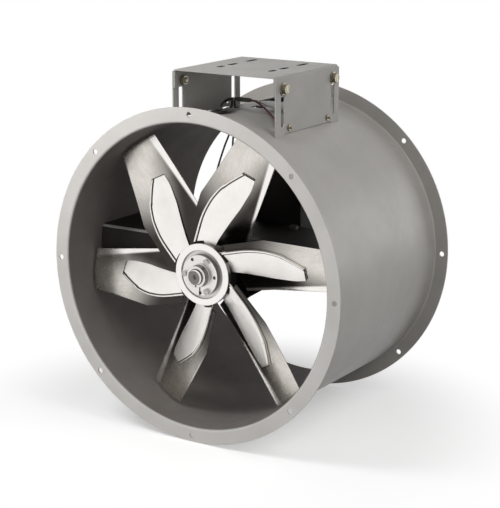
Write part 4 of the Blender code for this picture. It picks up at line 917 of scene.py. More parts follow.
@dataclass
class Studio:
    """Camera at the photograph's angle, a pale floor and soft lamps."""

    camera_place: Point3 = (1.7373, -2.6975, 1.1574)
    camera_aim: Point3 = (-0.0065, 0.0, 0.3452)
    focal_pixels: float = 1572.5
    frame_width: float = 500.0
    sensor_width: float = 36.0
    floor_size: float = 60.0
    shadow_middle: Point3 = (0.0, -0.10, 0.0)
    shadow_reach: float = 0.36
    white_from: float = 0.68
    surround_light: float = 0.12
    paper: str = "#e6e6e6"
    paper_in_light: str = "#a0a0a0"
    paper_lift: float = 0.42
    view_depth: float = 100.0
    lamps: tuple[Lamp, ...] = (
        Lamp("near_left_lamp", (-0.60, -0.75, 1.20), 0.5, 7.5),
        Lamp("front_lamp", (0.0, -3.367, 0.816), 1.6, 20.0),
        Lamp("front_sheen_lamp", (0.0, -3.367, 0.816), 1.6, 14.0, in_gloss=True),
        Lamp("camera_side_lamp", (2.550, -1.472, 2.043), 1.6, 12.0),
        Lamp("right_lamp", (2.368, -0.417, 2.747), 1.6, 29.0),
        Lamp("far_right_lamp", (2.368, 0.417, 2.747), 1.6, 4.0),
        Lamp("back_right_lamp", (1.940, 2.720, 0.850), 1.6, 16.0, in_gloss=True),
    )

    def set_camera(self) -> None:
        """Puts the camera where the photograph was taken from."""
        data = bpy.data.cameras.new("camera")
        data.sensor_fit = "HORIZONTAL"
        data.sensor_width = self.sensor_width
        data.lens = self.focal_pixels * self.sensor_width / self.frame_width
        data.clip_end = self.view_depth
        camera = add_object("camera", data)
        aim(camera, self.camera_place, self.camera_aim)
        bpy.context.scene.camera = camera
        bpy.context.scene.view_settings.view_transform = "Standard"

    def seen(self, tree: Tree) -> Socket:
        """Says whether a ray comes from the camera, a gloss or clear glass.

        Args:
            tree: The tree that asks.

        Returns:
            A socket that is 1 for such rays.
        """
        path = add_node(tree, "ShaderNodeLightPath", {}).outputs
        larger = {"operation": "MAXIMUM"}
        first = add_node(tree, MATH, {0: path["Is Camera Ray"], 1: path["Is Glossy Ray"]}, larger).outputs[0]
        return add_node(tree, MATH, {0: first, 1: path["Is Transmission Ray"]}, larger).outputs[0]

    def set_world(self) -> None:
        """A white surround, plain and dimmer where it lights the object."""
        world = bpy.data.worlds.new("studio")
        bpy.context.scene.world = world
        world.use_nodes = True
        tree = world.node_tree
        tree.nodes.clear()
        pure = linear("#ffffff")
        dim = add_node(tree, BACKGROUND, {"Color": pure, "Strength": self.surround_light})
        white = add_node(tree, BACKGROUND, {"Color": pure, "Strength": 1.0})
        mixed = add_node(tree, MIX_SHADER, {0: self.seen(tree), 1: dim.outputs[0], 2: white.outputs[0]})
        add_node(tree, "ShaderNodeOutputWorld", {"Surface": mixed.outputs[0]})

    def set_floor(self) -> None:
        """A pale floor that keeps the shadow near the fan and turns to plain white further out."""
        shape = bmesh.new()
        bmesh.ops.create_grid(shape, x_segments=1, y_segments=1, size=self.floor_size / 2)
        floor = link_mesh("studio_floor", shape)
        material = bpy.data.materials.new("matt_white_paper")
        material.use_nodes = True
        tree = material.node_tree
        tree.nodes.clear()
        matt = add_node(tree, DIFFUSE, {"Color": linear(self.paper)})
        dull = add_node(tree, DIFFUSE, {"Color": linear(self.paper_in_light)})
        glow = add_node(tree, EMISSION, {"Strength": self.paper_lift})
        lifted = add_node(tree, "ShaderNodeAddShader", {0: matt.outputs[0], 1: glow.outputs[0]})
        white = add_node(tree, EMISSION, {"Strength": 1.0})
        where = add_node(tree, COORDINATES, {}).outputs["Object"]
        shifted = add_node(tree, VECTOR_MATH, {0: where, 1: self.shadow_middle}, {"operation": "SUBTRACT"})
        away = add_node(tree, VECTOR_MATH, {0: shifted.outputs[0]}, {"operation": "LENGTH"})
        reach = {"From Min": self.shadow_reach, "From Max": self.white_from}
        fade = add_node(tree, RANGE, {"Value": away.outputs["Value"], **reach}, SMOOTH).outputs[0]
        shown = add_node(tree, MIX_SHADER, {0: fade, 1: lifted.outputs[0], 2: white.outputs[0]})
        mixed = add_node(tree, MIX_SHADER, {0: self.seen(tree), 1: dull.outputs[0], 2: shown.outputs[0]})
        add_node(tree, "ShaderNodeOutputMaterial", {"Surface": mixed.outputs[0]})
        floor.data.materials.append(material)
        floor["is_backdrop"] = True

    def set_lamp(self, lamp: Lamp) -> None:
        """Adds one soft lamp that faces the fan.

        Args:
            lamp: Its name, place, size and power.
        """
        data = bpy.data.lights.new(lamp.name, "AREA")
        data.shape = "SQUARE"
        data.size = lamp.size
        data.energy = lamp.power
        obj = add_object(lamp.name, data)
        aim(obj, lamp.place, (0, 0, AXIS_Z))
        obj.visible_glossy = lamp.in_gloss

    def build(self) -> None:
        """Sets up camera, surround, floor and lamps."""
        self.set_camera()
        self.set_world()
        self.set_floor()
        for lamp in self.lamps:
            self.set_lamp(lamp)


# The fan's sub-assemblies


def on_circle(radius: float, angle: float, y: float) -> Vector:
    """A point on a circle round the fan's axis, at a station along it."""
    return Vector((radius * math.cos(angle), y, AXIS_Z + radius * math.sin(angle)))


@dataclass
class Drum:
    """Rolled drum with a flange at each end, the belt's opening and the holes of its flanges.

    The rings are the shares of its half length where the shell's mesh has a ring of points.
    """

    length: float = 0.457
    bore: float = DRUM_BORE
    wall: float = 0.0027
    flange: float = 0.34317
    bend: float = 0.006
    hole: float = 0.0055
    bolt_circle: float = 0.3295
    holes: int = 8
    edge: float = 0.0006
    belt_low: Point3 = (-0.055, 0.100, AXIS_Z)
    belt_high: Point3 = (0.055, 0.166, AXIS_Z + 0.33)
    cable_low: Point3 = (-0.010, 0.004, AXIS_Z)
    cable_high: Point3 = (0.019, 0.027, AXIS_Z + 0.33)
    grommet: Point2 = GROMMET_PLACE
    grommet_hole: float = 0.0078
    front_facing: float = 0.85
    rings: Point3 = (0.0, 0.5, 0.9)

    def profile(self) -> list[Point2]:
        """The drum's section as (radius, height), heights along the fan's axis.

        Returns:
            A closed outline.
        """
        half, bend, edge = self.length / 2, self.bend, self.edge
        outer = self.bore + self.wall
        rim = arc((self.flange - edge, half - edge), edge, QUARTER, 0, 3)
        rim += arc((self.flange - edge, half - self.wall + edge), edge, 0, -QUARTER, 3)
        outside = arc((self.bore + bend, half - bend), bend - self.wall, QUARTER, 2 * QUARTER, 6)
        straight = [(outer, half * share) for share in reversed(self.rings)]
        inside = arc((self.bore + bend, half - bend), bend, 2 * QUARTER, QUARTER, 8)
        lining = [(self.bore, half * share) for share in self.rings]
        upper = [*rim, *outside, *straight]
        lower = [(radius, -height) for radius, height in reversed(upper[:-1])]
        low_inside = [(radius, -height) for radius, height in reversed(inside)]
        low_lining = [(radius, -height) for radius, height in reversed(lining[1:])]
        return [*upper, *lower, *low_inside, *low_lining, *lining, *inside]

    def build(self) -> None:
        """Turns the shell and cuts its openings."""
        shell = lathe("drum_shell", self.profile(), ON_AXIS @ ALONG_Y, 288)
        angles = [FULL_TURN * index / self.holes for index in range(self.holes)]
        centres = [on_circle(self.bolt_circle, angle, 0) for angle in angles]
        bolt_holes = pegs("flange_holes", self.hole, 0.5, [moved(*c) @ ALONG_Y for c in centres])
        belt = block("belt_opening", self.belt_low, self.belt_high)
        cable = block("cable_opening", self.cable_low, self.cable_high)
        above = moved(*self.grommet, AXIS_Z + 0.31)
        line = pegs("grommet_hole", self.grommet_hole, 0.06, [above])
        shell = cut(shell, bolt_holes, belt, cable, line)
        show(shell, HOUSING_ENAMEL, Slot.HOUSING_PAINT, Body.HOUSING, "housing_drum")
        # The bore gets painted shade.
        lining = self.bore + self.wall / 2
        dress_zone(shell, SHADED_BORE_ENAMEL, lambda centre, normal: math.hypot(centre.x, centre.y) < lining)
        # The front flange's front face gets painted light.
        front = -self.length / 2 + self.bend
        facing = -self.front_facing
        dress_zone(shell, LIT_FLANGE_ENAMEL, lambda centre, normal: centre.z < front and normal.z < facing)


@dataclass
class BladeShape:
    """The twisted surface of one blade in its own frame, X along its radial line."""

    root: float = 0.0595
    tip: float = 0.305
    plane: float = -0.1515
    pitch_root: float = 0.078
    lead: tuple[Point2, ...] = ((0.0595, 0.0572), (0.158, 0.0612), (0.305, 0.0252))
    trail: tuple[Point2, ...] = ((0.0595, 0.0500), (0.130, 0.0485), (0.305, 0.0592))
    root_pitch: float = math.radians(31.0)
    tip_pitch: float = math.radians(15.5)
    camber: float = 0.004
    thickness: float = 0.0025
    curl_width: float = 0.021
    curl_rise: float = 0.0042

    def between(self, rows: Sequence[Point2], radial: float) -> float:
        """Reads a table of (radius, value) between its rows.

        Args:
            rows: The table, radii rising.
            radial: The radius.

        Returns:
            The value.
        """
        for (start, first), (end, second) in zip(rows, rows[1:]):
            if radial <= end:
                return first + (second - first) * (radial - start) / (end - start)
        return rows[-1][1]

    def surface(self, radial: float, across: float) -> Vector:
        """A point of the middle surface, whose trailing edge curls forward.

        Args:
            radial: Its distance out along the blade.
            across: Its offset from the radial line.

        Returns:
            The point.
        """
        lead, trail = self.between(self.lead, radial), self.between(self.trail, radial)
        share = (radial - self.pitch_root) / (self.tip - self.pitch_root)
        pitch = math.tan(self.root_pitch) * (1 - share) + math.tan(self.tip_pitch) * share
        chord = (across + trail) / (lead + trail)
        crown = 4 * self.camber * chord * (1 - chord)
        curl = self.curl_rise * max(1 - (across + trail) / self.curl_width, 0.0) ** 2
        return Vector((radial, self.plane - across * pitch - crown - curl, across))

    def normal(self, radial: float, across: float) -> Vector:
        """The unit normal of the front face at such a point.

        Args:
            radial: Its distance out along the blade.
            across: Its offset from the radial line.

        Returns:
            The normal.
        """
        step = self.thickness
        here = self.surface(radial, across)
        outward = self.surface(radial + step, across) - here
        sideways = self.surface(radial, across + step) - here
        found = outward.cross(sideways).normalized()
        return found if found.y < 0 else -found

    def at(self, row: float, column: float) -> tuple[Vector, Vector]:
        """The surface's point and normal at shares of its length and its width.

        Args:
            row: The share of the way from root to tip.
            column: The share of the way from the trailing to the leading edge.

        Returns:
            The point and the normal.
        """
        straight = self.root + (self.tip - self.root) * row
        lead, trail = self.between(self.lead, straight), self.between(self.trail, straight)
        across = -trail + (lead + trail) * column
        radial = self.root + (math.sqrt(self.tip**2 - across**2) - self.root) * row
        return self.surface(radial, across), self.normal(radial, across)


def even_shares(count: int, edge: float) -> list[float]:
    """Even shares from 0 to 1, with one more close to each end for the rounded edges."""
    inner = [edge + (1 - 2 * edge) * index / count for index in range(count + 1)]
    return [0.0, *inner, 1.0]


def bent_sheet(
    name: str,
    at: Callable[[float, float], tuple[Vector, Vector]],
    thickness: float,
    rows: Sequence[float],
    columns: Sequence[float],
    world: Matrix,
    raise_by: Callable[[float, float], float] | None = None,
) -> Piece:
    """A closed sheet with rounded edges that follows a surface.

    Args:
        name: The object's name.
        at: Gives the middle surface's point and normal at a row and a column.
        thickness: The sheet's thickness.
        rows: The rows along its length.
        columns: The columns across it.
        world: The sheet's place.
        raise_by: Gives how far the front stands up at a row and a column.

    Returns:
        The sheet.
    """
    shape = bmesh.new()
    last_row, last_column = len(rows) - 1, len(columns) - 1
    faces = []
    for side in (1, -1):
        grid = []
        for i, row in enumerate(rows):
            line = []
            for j, column in enumerate(columns):
                point, normal = at(row, column)
                at_rim = i in (0, last_row) or j in (0, last_column)
                half = thickness / 2 * (RIM_SHARE if at_rim else 1.0)
                lift = raise_by(row, column) if raise_by and side > 0 else 0.0
                line.append(shape.verts.new(point + normal * (side * half + lift)))
            grid.append(line)
        for i in range(last_row):
            for j in range(last_column):
                shape.faces.new([grid[i][j], grid[i][j + 1], grid[i + 1][j + 1], grid[i + 1][j]])
        faces.append(grid)
    front, back = faces
    for i in range(last_row):
        for j in (0, last_column):
            shape.faces.new([front[i][j], front[i + 1][j], back[i + 1][j], back[i][j]])
    for j in range(last_column):
        for i in (0, last_row):
            shape.faces.new([front[i][j], front[i][j + 1], back[i][j + 1], back[i][j]])
    return link_mesh(name, shape, world, SHARP_BENT)


@dataclass
class Blades:
    """Six blades and the arm on each blade's face that ties it to the hub."""

    count: int = 6
    phase: float = math.radians(10.5)
    arm_tip: float = 0.226
    arm_width: float = 0.060
    arm_thickness: float = 0.004
    seat_gap: float = 0.0006
    disc: float = 0.064
    barrel: float = 0.055
    rim_start: float = 0.020
    play: float = 0.0003
    stand_off: float = 0.0105
    bead: float = 0.0019
    groove: float = 0.0012
    band: float = 0.0066
    rim_blend: float = 0.003
    tip_slant: float = 0.25
    lay_down: float = 0.8
    bead_end: float = 0.03
    # The groove's columns, and the rows outside which the arm gets painted shade.
    shaded_groove: Point2 = (1.08, 1.40)
    unshaded_rows: Point2 = (0.02, 0.972)
    flat_columns: int = 16
    fine_columns: int = 18
    blade_rows: tuple[int, float] = (44, 0.005)
    blade_columns: tuple[int, float] = (30, 0.009)
    arm_rows: tuple[int, float] = (48, 0.010)
    edges: tuple[Point3, ...] = (
        (0.00, 0.03, 0.73), (0.11, 0.01, 0.75), (0.36, -0.13, 0.77), (0.54, -0.25, 0.70),
        (0.64, -0.32, 0.61), (0.75, -0.38, 0.47), (0.88, -0.45, 0.22), (1.00, -0.46, -0.05),
    )

    def __post_init__(self) -> None:
        """Sets out the blade's surface, the arm's lift from it and the arm's columns."""
        self.blade = BladeShape()
        self.lift = self.blade.thickness / 2 + self.seat_gap + self.arm_thickness / 2
        coarse = [0.0, 0.01, *((index + 1) / self.flat_columns for index in range(self.flat_columns))]
        self.columns = [*coarse, *(1 + (index + 1) / self.fine_columns for index in range(self.fine_columns))]

    def edge_at(self, share: float) -> Point2:
        """The arm's two edges across the blade, on a smooth line through the table.

        Args:
            share: How far along the arm.

        Returns:
            The lower and the upper edge.
        """
        rows = self.edges
        place = next((i for i in range(1, len(rows)) if share <= rows[i][0]), len(rows) - 1)
        start, end = rows[place - 1], rows[place]
        span = end[0] - start[0]
        t = (share - start[0]) / span
        found = []
        for column in (1, 2):
            before = rows[max(place - 2, 0)]
            after = rows[min(place + 1, len(rows) - 1)]
            slope_in = (end[column] - before[column]) / (end[0] - before[0])
            slope_out = (after[column] - start[column]) / (after[0] - start[0])
            value = on_curve((start[column], end[column]), (slope_in * span, slope_out * span), t)
            found.append(value * self.arm_width)
        return found[0], found[1]

    def root_at(self, across: float) -> float:
        """Where the arm meets the hub: the barrel low down, the disc's rim higher up.

        Args:
            across: The offset from the arm's radial line.

        Returns:
            The distance out along the arm.
        """
        normal = self.blade.normal(self.blade.pitch_root, across)
        lifted = across + normal.z * self.lift
        share = min(max((lifted - self.rim_start) / self.rim_blend, 0.0), 1.0)
        rim = self.barrel + (self.disc - self.barrel) * share
        play = self.play + abs(normal.z) * self.arm_thickness / 2 * abs(lifted) / rim
        return math.sqrt((rim + play) ** 2 - lifted**2) - normal.x * self.lift

    def arm_across(self, row: float, column: float) -> Point2:
        """Where a column lies: even shares of the flat up to 1, then steps across the bead's band.

        Args:
            row: The share of the arm's length.
            column: The column, from 0 to 2.

        Returns:
            The offset across the blade and the distance in from the arm's upper edge.
        """
        low, high = self.edge_at(row)
        if column > 1:
            inward = self.band * (2 - column)
            return high - inward, inward
        across = low + (high - self.band - low) * column
        return across, high - across

    def arm_at(self, row: float, column: float) -> tuple[Vector, Vector]:
        """The arm's middle surface and normal; its straight edge stands off the blade at the hub.

        Args:
            row: The share of the arm's length.
            column: The column, from 0 to 2.

        Returns:
            The point and the normal.
        """
        across, inward = self.arm_across(row, column)
        low, high = self.edge_at(row)
        radial = self.root_at(across)
        radial += (self.arm_tip - self.tip_slant * (high - across) - radial) * row
        normal = self.blade.normal(radial, across)
        tilt = self.stand_off * (1 - row) ** self.lay_down * inward / (high - low)
        return self.blade.surface(radial, across) + normal * self.lift - Vector((0, tilt, 0)), normal

    def bead_at(self, row: float, column: float) -> float:
        """How far the rolled bead along the arm's upper edge stands up, past its groove.

        Args:
            row: The share of the arm's length.
            column: The column, from 0 to 2.

        Returns:
            The rise, below 0 in the groove.
        """
        inward = self.arm_across(row, column)[1]
        ends = min(row / self.bead_end, (1 - row) / self.bead_end, 1.0)
        if inward < 2 * self.bead:
            return ends * math.sqrt(max(self.bead**2 - (inward - self.bead) ** 2, 0.0))
        beyond = (inward - 2 * self.bead) / (self.band - 2 * self.bead)
        return -ends * self.groove * math.sin(math.pi * beyond) if beyond < 1 else 0.0

    def shade_folds(self, arm: Piece, rows: Sequence[float]) -> None:
        """Paints shade into the groove behind an arm's bead and at both of the arm's ends.

        Args:
            arm: The arm, already shown.
            rows: The rows that it was made from.
        """
        arm.data.materials.append(FOLD_SHADE_METAL.material())
        across = len(self.columns) - 1
        front = (len(rows) - 1) * across
        for face in arm.data.polygons[:front]:
            row, column = rows[face.index // across], self.columns[face.index % across]
            in_groove = self.shaded_groove[0] < column < self.shaded_groove[1]
            if in_groove or not self.unshaded_rows[0] < row < self.unshaded_rows[1]:
                face.material_index = 1

    def build(self) -> None:
        """Makes each blade and each arm at its own angle."""
        blade_grid = even_shares(*self.blade_rows), even_shares(*self.blade_columns)
        arm_grid = even_shares(*self.arm_rows), self.columns
        for index in range(self.count):
            turn = ON_AXIS @ Matrix.Rotation(-(self.phase + FULL_TURN * index / self.count), 4, "Y")
            number = index + 1
            name = f"blade_sheet_{number}"
            blade = bent_sheet(name, self.blade.at, self.blade.thickness, *blade_grid, turn)
            show(blade, BLADE_METAL, Slot.PROPELLER_METAL, Body.PROPELLER, f"blade_{number}")
            name = f"arm_plate_{number}"
            arm = bent_sheet(name, self.arm_at, self.arm_thickness, *arm_grid, turn, self.bead_at)
            show(arm, ARM_METAL, Slot.PROPELLER_METAL, Body.PROPELLER, f"blade_arm_{number}")
            self.shade_folds(arm, arm_grid[0])


@dataclass
class Hub:
    """Hub, split taper bushing with its screws, shaft and key."""

    face: float = -0.189
    disc: float = 0.064
    disc_thickness: float = 0.011
    recess: float = 0.050
    recess_depth: float = 0.006
    barrel: float = 0.055
    length: float = 0.049
    bore_front: float = 0.0313
    bore_rear: float = 0.0279
    edge: float = 0.0016
    nose: float = 0.022
    nose_length: float = 0.014
    flange: float = 0.042
    flange_thickness: float = 0.0125
    sleeve: float = 0.031
    sleeve_length: float = 0.038
    taper: float = 0.003
    shaft: float = SHAFT_RADIUS
    shaft_front: float = -0.216
    shaft_rear: float = 0.160
    slit: float = 0.003
    screw_circle: float = 0.0355
    screws: int = 3
    jack_hole: float = 0.0036
    jack_angles: Point3 = (FULL_TURN / 3, 2 * FULL_TURN / 3 + 0.55, 0.0)

    def rounded(self, corners: Sequence[Point3]) -> list[Point2]:
        """Rounds a closed outline's corners.

        Args:
            corners: Each corner as (radius, height, rounding).

        Returns:
            The outline's points.
        """
        points: list[Point2] = []
        count, steps = len(corners), 4
        for index, (radius, height, rounding) in enumerate(corners):
            here = Vector((radius, height))
            before = (Vector(corners[index - 1][:2]) - here).normalized()
            after = (Vector(corners[(index + 1) % count][:2]) - here).normalized()
            first, last = here + before * rounding, here + after * rounding
            for step in range(steps + 1):
                t = step / steps
                spot = first * (1 - t) ** 2 + here * 2 * t * (1 - t) + last * t**2
                points.append((spot.x, spot.y))
        return points

    def build_hub(self) -> None:
        """The disc with its recess, and the barrel that the arms meet."""
        rear, back = self.face + self.length, self.face + self.disc_thickness
        floor = self.face + self.recess_depth
        corners = [
            (self.barrel, rear, 0.0012), (self.barrel, back, 0.0008),
            (self.disc, back, self.edge), (self.disc, self.face, self.edge),
            (self.recess, self.face, 0.0010), (self.recess, floor, 0.0012),
            (self.bore_front, floor, 0.0005), (self.bore_rear, rear, 0.0005),
        ]
        hub = lathe("hub_casting", self.rounded(corners), ON_AXIS @ ALONG_Y, 160)
        show(hub, HUB_METAL, Slot.PROPELLER_METAL, Body.PROPELLER, "hub")
        as_cast = self.face + 2.2 * self.edge
        dress_zone(hub, CAST_ALUMINIUM, lambda centre, normal: centre.z > as_cast)
        # The recess floor gets painted shade.
        dress_zone(hub, SHADED_RECESS_METAL, self.in_recess)

    def in_recess(self, centre: Vector, normal: Vector) -> bool:
        """Says by a face's centre and normal whether it lies on the floor of the disc's recess."""
        inside = math.hypot(centre.x, centre.y) < self.recess + 0.0002
        return inside and centre.z > self.face + 0.0012 and normal.z < -FACING

    def screw_places(self, y: float) -> list[Vector]:
        """The bushing screws' centres at a station along the axis."""
        angles = [(index + 0.5) * FULL_TURN / self.screws for index in range(self.screws)]
        return [on_circle(self.screw_circle, angle, y) for angle in angles]

    def build_bushing(self) -> None:
        """The split taper bushing, its slit down to the bore."""
        seat = self.face + self.recess_depth - GAP
        front, rear = seat - self.flange_thickness, seat + self.sleeve_length
        inner = self.shaft + GAP
        corners = [
            (self.sleeve - self.taper, rear, 0.0006), (self.sleeve, seat, 0.0003),
            (self.flange, seat, 0.0008), (self.flange, front, 0.0014),
            (self.nose + 0.0008, front, 0.0008), (self.nose, front - self.nose_length, 0.0016),
            (inner, front - self.nose_length, 0.0010), (inner, rear, 0.0004),
        ]
        bushing = lathe("taper_bushing", self.rounded(corners), ON_AXIS @ ALONG_Y, 128)
        half = self.slit / 2
        slit = block("bushing_slit", (-half, -0.25, AXIS_Z - 0.05), (half, -0.10, AXIS_Z))
        places = [on_circle(self.screw_circle, angle, front) for angle in self.jack_angles]
        jacks = [moved(*place) @ ALONG_Y for place in places]
        holes = pegs("jack_holes", self.jack_hole, 0.012, jacks, 28)
        bushing = cut(bushing, slit, holes)
        show(bushing, TURNED_STEEL, Slot.MACHINED_STEEL, Body.PROPELLER, "hub_bushing")
        # The bushing's sides get painted shade.
        dress_zone(bushing, SHADED_SIDE_STEEL, lambda centre, normal: abs(normal.z) < FACING)

    def build_shaft(self) -> None:
        """The shaft with chamfered ends and its centre hole."""
        radius, edge = self.shaft, 0.0022
        profile = [
            (0, self.shaft_rear), (radius - edge, self.shaft_rear),
            (radius, self.shaft_rear - edge), (radius, self.shaft_front + edge),
            (radius - edge, self.shaft_front), (0.0056, self.shaft_front),
            (0.0030, self.shaft_front + 0.0022), (0.0030, self.shaft_front + 0.0062),
            (0, self.shaft_front + 0.0080),
        ]
        shaft = lathe("turned_shaft", profile, ON_AXIS @ ALONG_Y, 96)
        show(shaft, SHAFT_STEEL, Slot.MACHINED_STEEL, Body.PROPELLER, "fan_shaft")
        chamfer, flat = self.shaft_front + edge, radius - edge
        dress_zone(
            shaft, TURNED_STEEL, lambda centre, normal: centre.z < chamfer and math.hypot(*centre.xy) > flat
        )

    def build(self) -> None:
        """Makes the hub, the bushing and the shaft."""
        self.build_hub()
        self.build_bushing()
        self.build_shaft()


@dataclass
class MotorFrame:
    """The two supports on the drum and the slotted base that slides between them."""

    centre_x: float = 0.015
    centre_y: float = -0.00875
    width: float = 0.240
    length: float = 0.2455
    top: float = 0.400
    sheet: float = 0.003
    side_depth: float = 0.038
    bend: float = 0.005
    slot_spacing: float = 0.124
    slot_width: float = 0.011
    slot_places: tuple[Point2, ...] = ((0.078, 0.038), (0.006, 0.030), (-0.038, 0.024))
    drum_outer: float = DRUM_OUTER
    top_drop: float = 0.004
    slot_edge: float = 0.026
    tension_slot: float = 0.014
    tension_bottom: float = 0.2995
    headroom: float = 0.0085
    bolt_drop: float = 0.0245
    foot: float = 0.033
    relief: float = 0.0033
    corner_hole: float = 0.004
    corner_inset: float = 0.048
    corner_rise: float = 0.0135
    bolt_hole: float = 0.0063
    slots_reach: float = 0.11
    edge: float = 0.0004

    def bolt_stations(self) -> Point2:
        """The front and rear bolts' places along Y."""
        reach = self.length / 2 - self.slot_edge
        return self.centre_y - reach, self.centre_y + reach

    def bolt_z(self) -> float:
        """The bolts' height at rest."""
        return AXIS_Z + self.top - self.bolt_drop

    def build_supports(self) -> None:
        """Each support is a plate with slots, whose two feet stand on the drum."""
        front, rear = self.centre_y - self.length / 2, self.centre_y + self.length / 2
        top = AXIS_Z + self.top - self.top_drop
        for side, name in ((-1, "left"), (1, "right")):
            inner = self.centre_x + side * (self.width / 2 + GAP)
            far = max(abs(inner), abs(inner + side * self.sheet))
            seat = AXIS_Z + math.sqrt(self.drum_outer**2 - inner**2)
            low = AXIS_Z + math.sqrt(self.drum_outer**2 - far**2) + 0.0002
            relief = seat + self.relief
            outline = [
                (front, low), (front + self.foot, low), (front + self.foot, relief - 0.001),
                (front + self.foot + 0.001, relief), (rear - self.foot - 0.001, relief),
                (rear - self.foot, relief - 0.001), (rear - self.foot, low), (rear, low),
                *arc((rear - 0.002, top - 0.002), 0.002, 0, QUARTER, 4),
                *arc((front + 0.002, top - 0.002), 0.002, QUARTER, 2 * QUARTER, 4),
            ]
            slot_top, slot_low = self.bolt_z() + self.headroom, AXIS_Z + self.tension_bottom
            slots = [
                slot_outline((y, (slot_top + slot_low) / 2), self.tension_slot, slot_top - slot_low)
                for y in self.bolt_stations()
            ]
            reach = self.length / 2 - self.corner_inset
            hole_z = seat + self.corner_rise
            corners = [ring_outline((self.centre_y + s * reach, hole_z), self.corner_hole) for s in (-1, 1)]
            world = moved(inner + side * self.sheet / 2, 0, 0) @ PLANE_YZ
            piece = plate(f"support_plate_{name}", [outline, *slots, *corners], self.sheet, world, self.edge)
            show(piece, FRAME_ENAMEL, Slot.MOTOR_FRAME_PAINT, Body.HOUSING, f"motor_support_{name}")

    def build_base(self) -> None:
        """The base is one sheet folded down at its two sides, with six slots in its top."""
        left, right = self.centre_x - self.width / 2, self.centre_x + self.width / 2
        top = AXIS_Z + self.top
        low = top - self.side_depth
        bend, sheet, half = self.bend, self.sheet, self.slot_spacing / 2
        centre_z = top - bend
        outside = arc((right - bend, centre_z), bend, 0, QUARTER, 8)
        outside += arc((left + bend, centre_z), bend, QUARTER, 2 * QUARTER, 8)
        inside = arc((left + bend, centre_z), bend - sheet, 2 * QUARTER, QUARTER, 8)
        inside += arc((right - bend, centre_z), bend - sheet, QUARTER, 0, 8)
        section = [(right, low), *outside, (left, low), (left + sheet, low), *inside, (right - sheet, low)]
        world = moved(0, self.centre_y, 0) @ FACING_FRONT
        base = stretch_profile("folded_base", section, self.length, world)
        outlines = [
            slot_outline((self.centre_x + side * half, self.centre_y + place), self.slot_width, length)
            for side in (-1, 1)
            for place, length in self.slot_places
        ]
        tools = [
            stretch_profile(f"foot_slot_{index}", outline, 0.02, moved(0, 0, top))
            for index, outline in enumerate(outlines)
        ]
        stations = [(self.centre_x, y, self.bolt_z()) for y in self.bolt_stations()]
        bolts = [moved(*station) @ ALONG_X for station in stations]
        base = cut(base, *tools, pegs("base_bolt_holes", self.bolt_hole, 0.3, bolts))
        base = soften(base, self.edge, 2, 60.0)
        show(base, FRAME_ENAMEL, Slot.MOTOR_FRAME_PAINT, Body.MOTOR_BASE, "motor_base")
        # The walls of the slots in the base's top get painted shade.
        dress_zone(base, SHADED_INNER_ENAMEL, self.in_slot)

    def in_slot(self, centre: Vector, normal: Vector) -> bool:
        """Says whether a face of the base is on the wall of a slot in its top.

        Args:
            centre: The face's centre, its Y up and its Z forward.
            normal: Its normal.

        Returns:
            True for a face of such a wall.
        """
        off = abs(abs(centre.x - self.centre_x) - self.slot_spacing / 2)
        beside = off < 0.6 * self.slot_width and abs(centre.z) < self.slots_reach
        in_top = centre.y > AXIS_Z + self.top - self.sheet - 0.0005
        return beside and in_top and abs(normal.y) < FACING

    def build(self) -> None:
        """Makes both supports and the base."""
        self.build_supports()
        self.build_base()


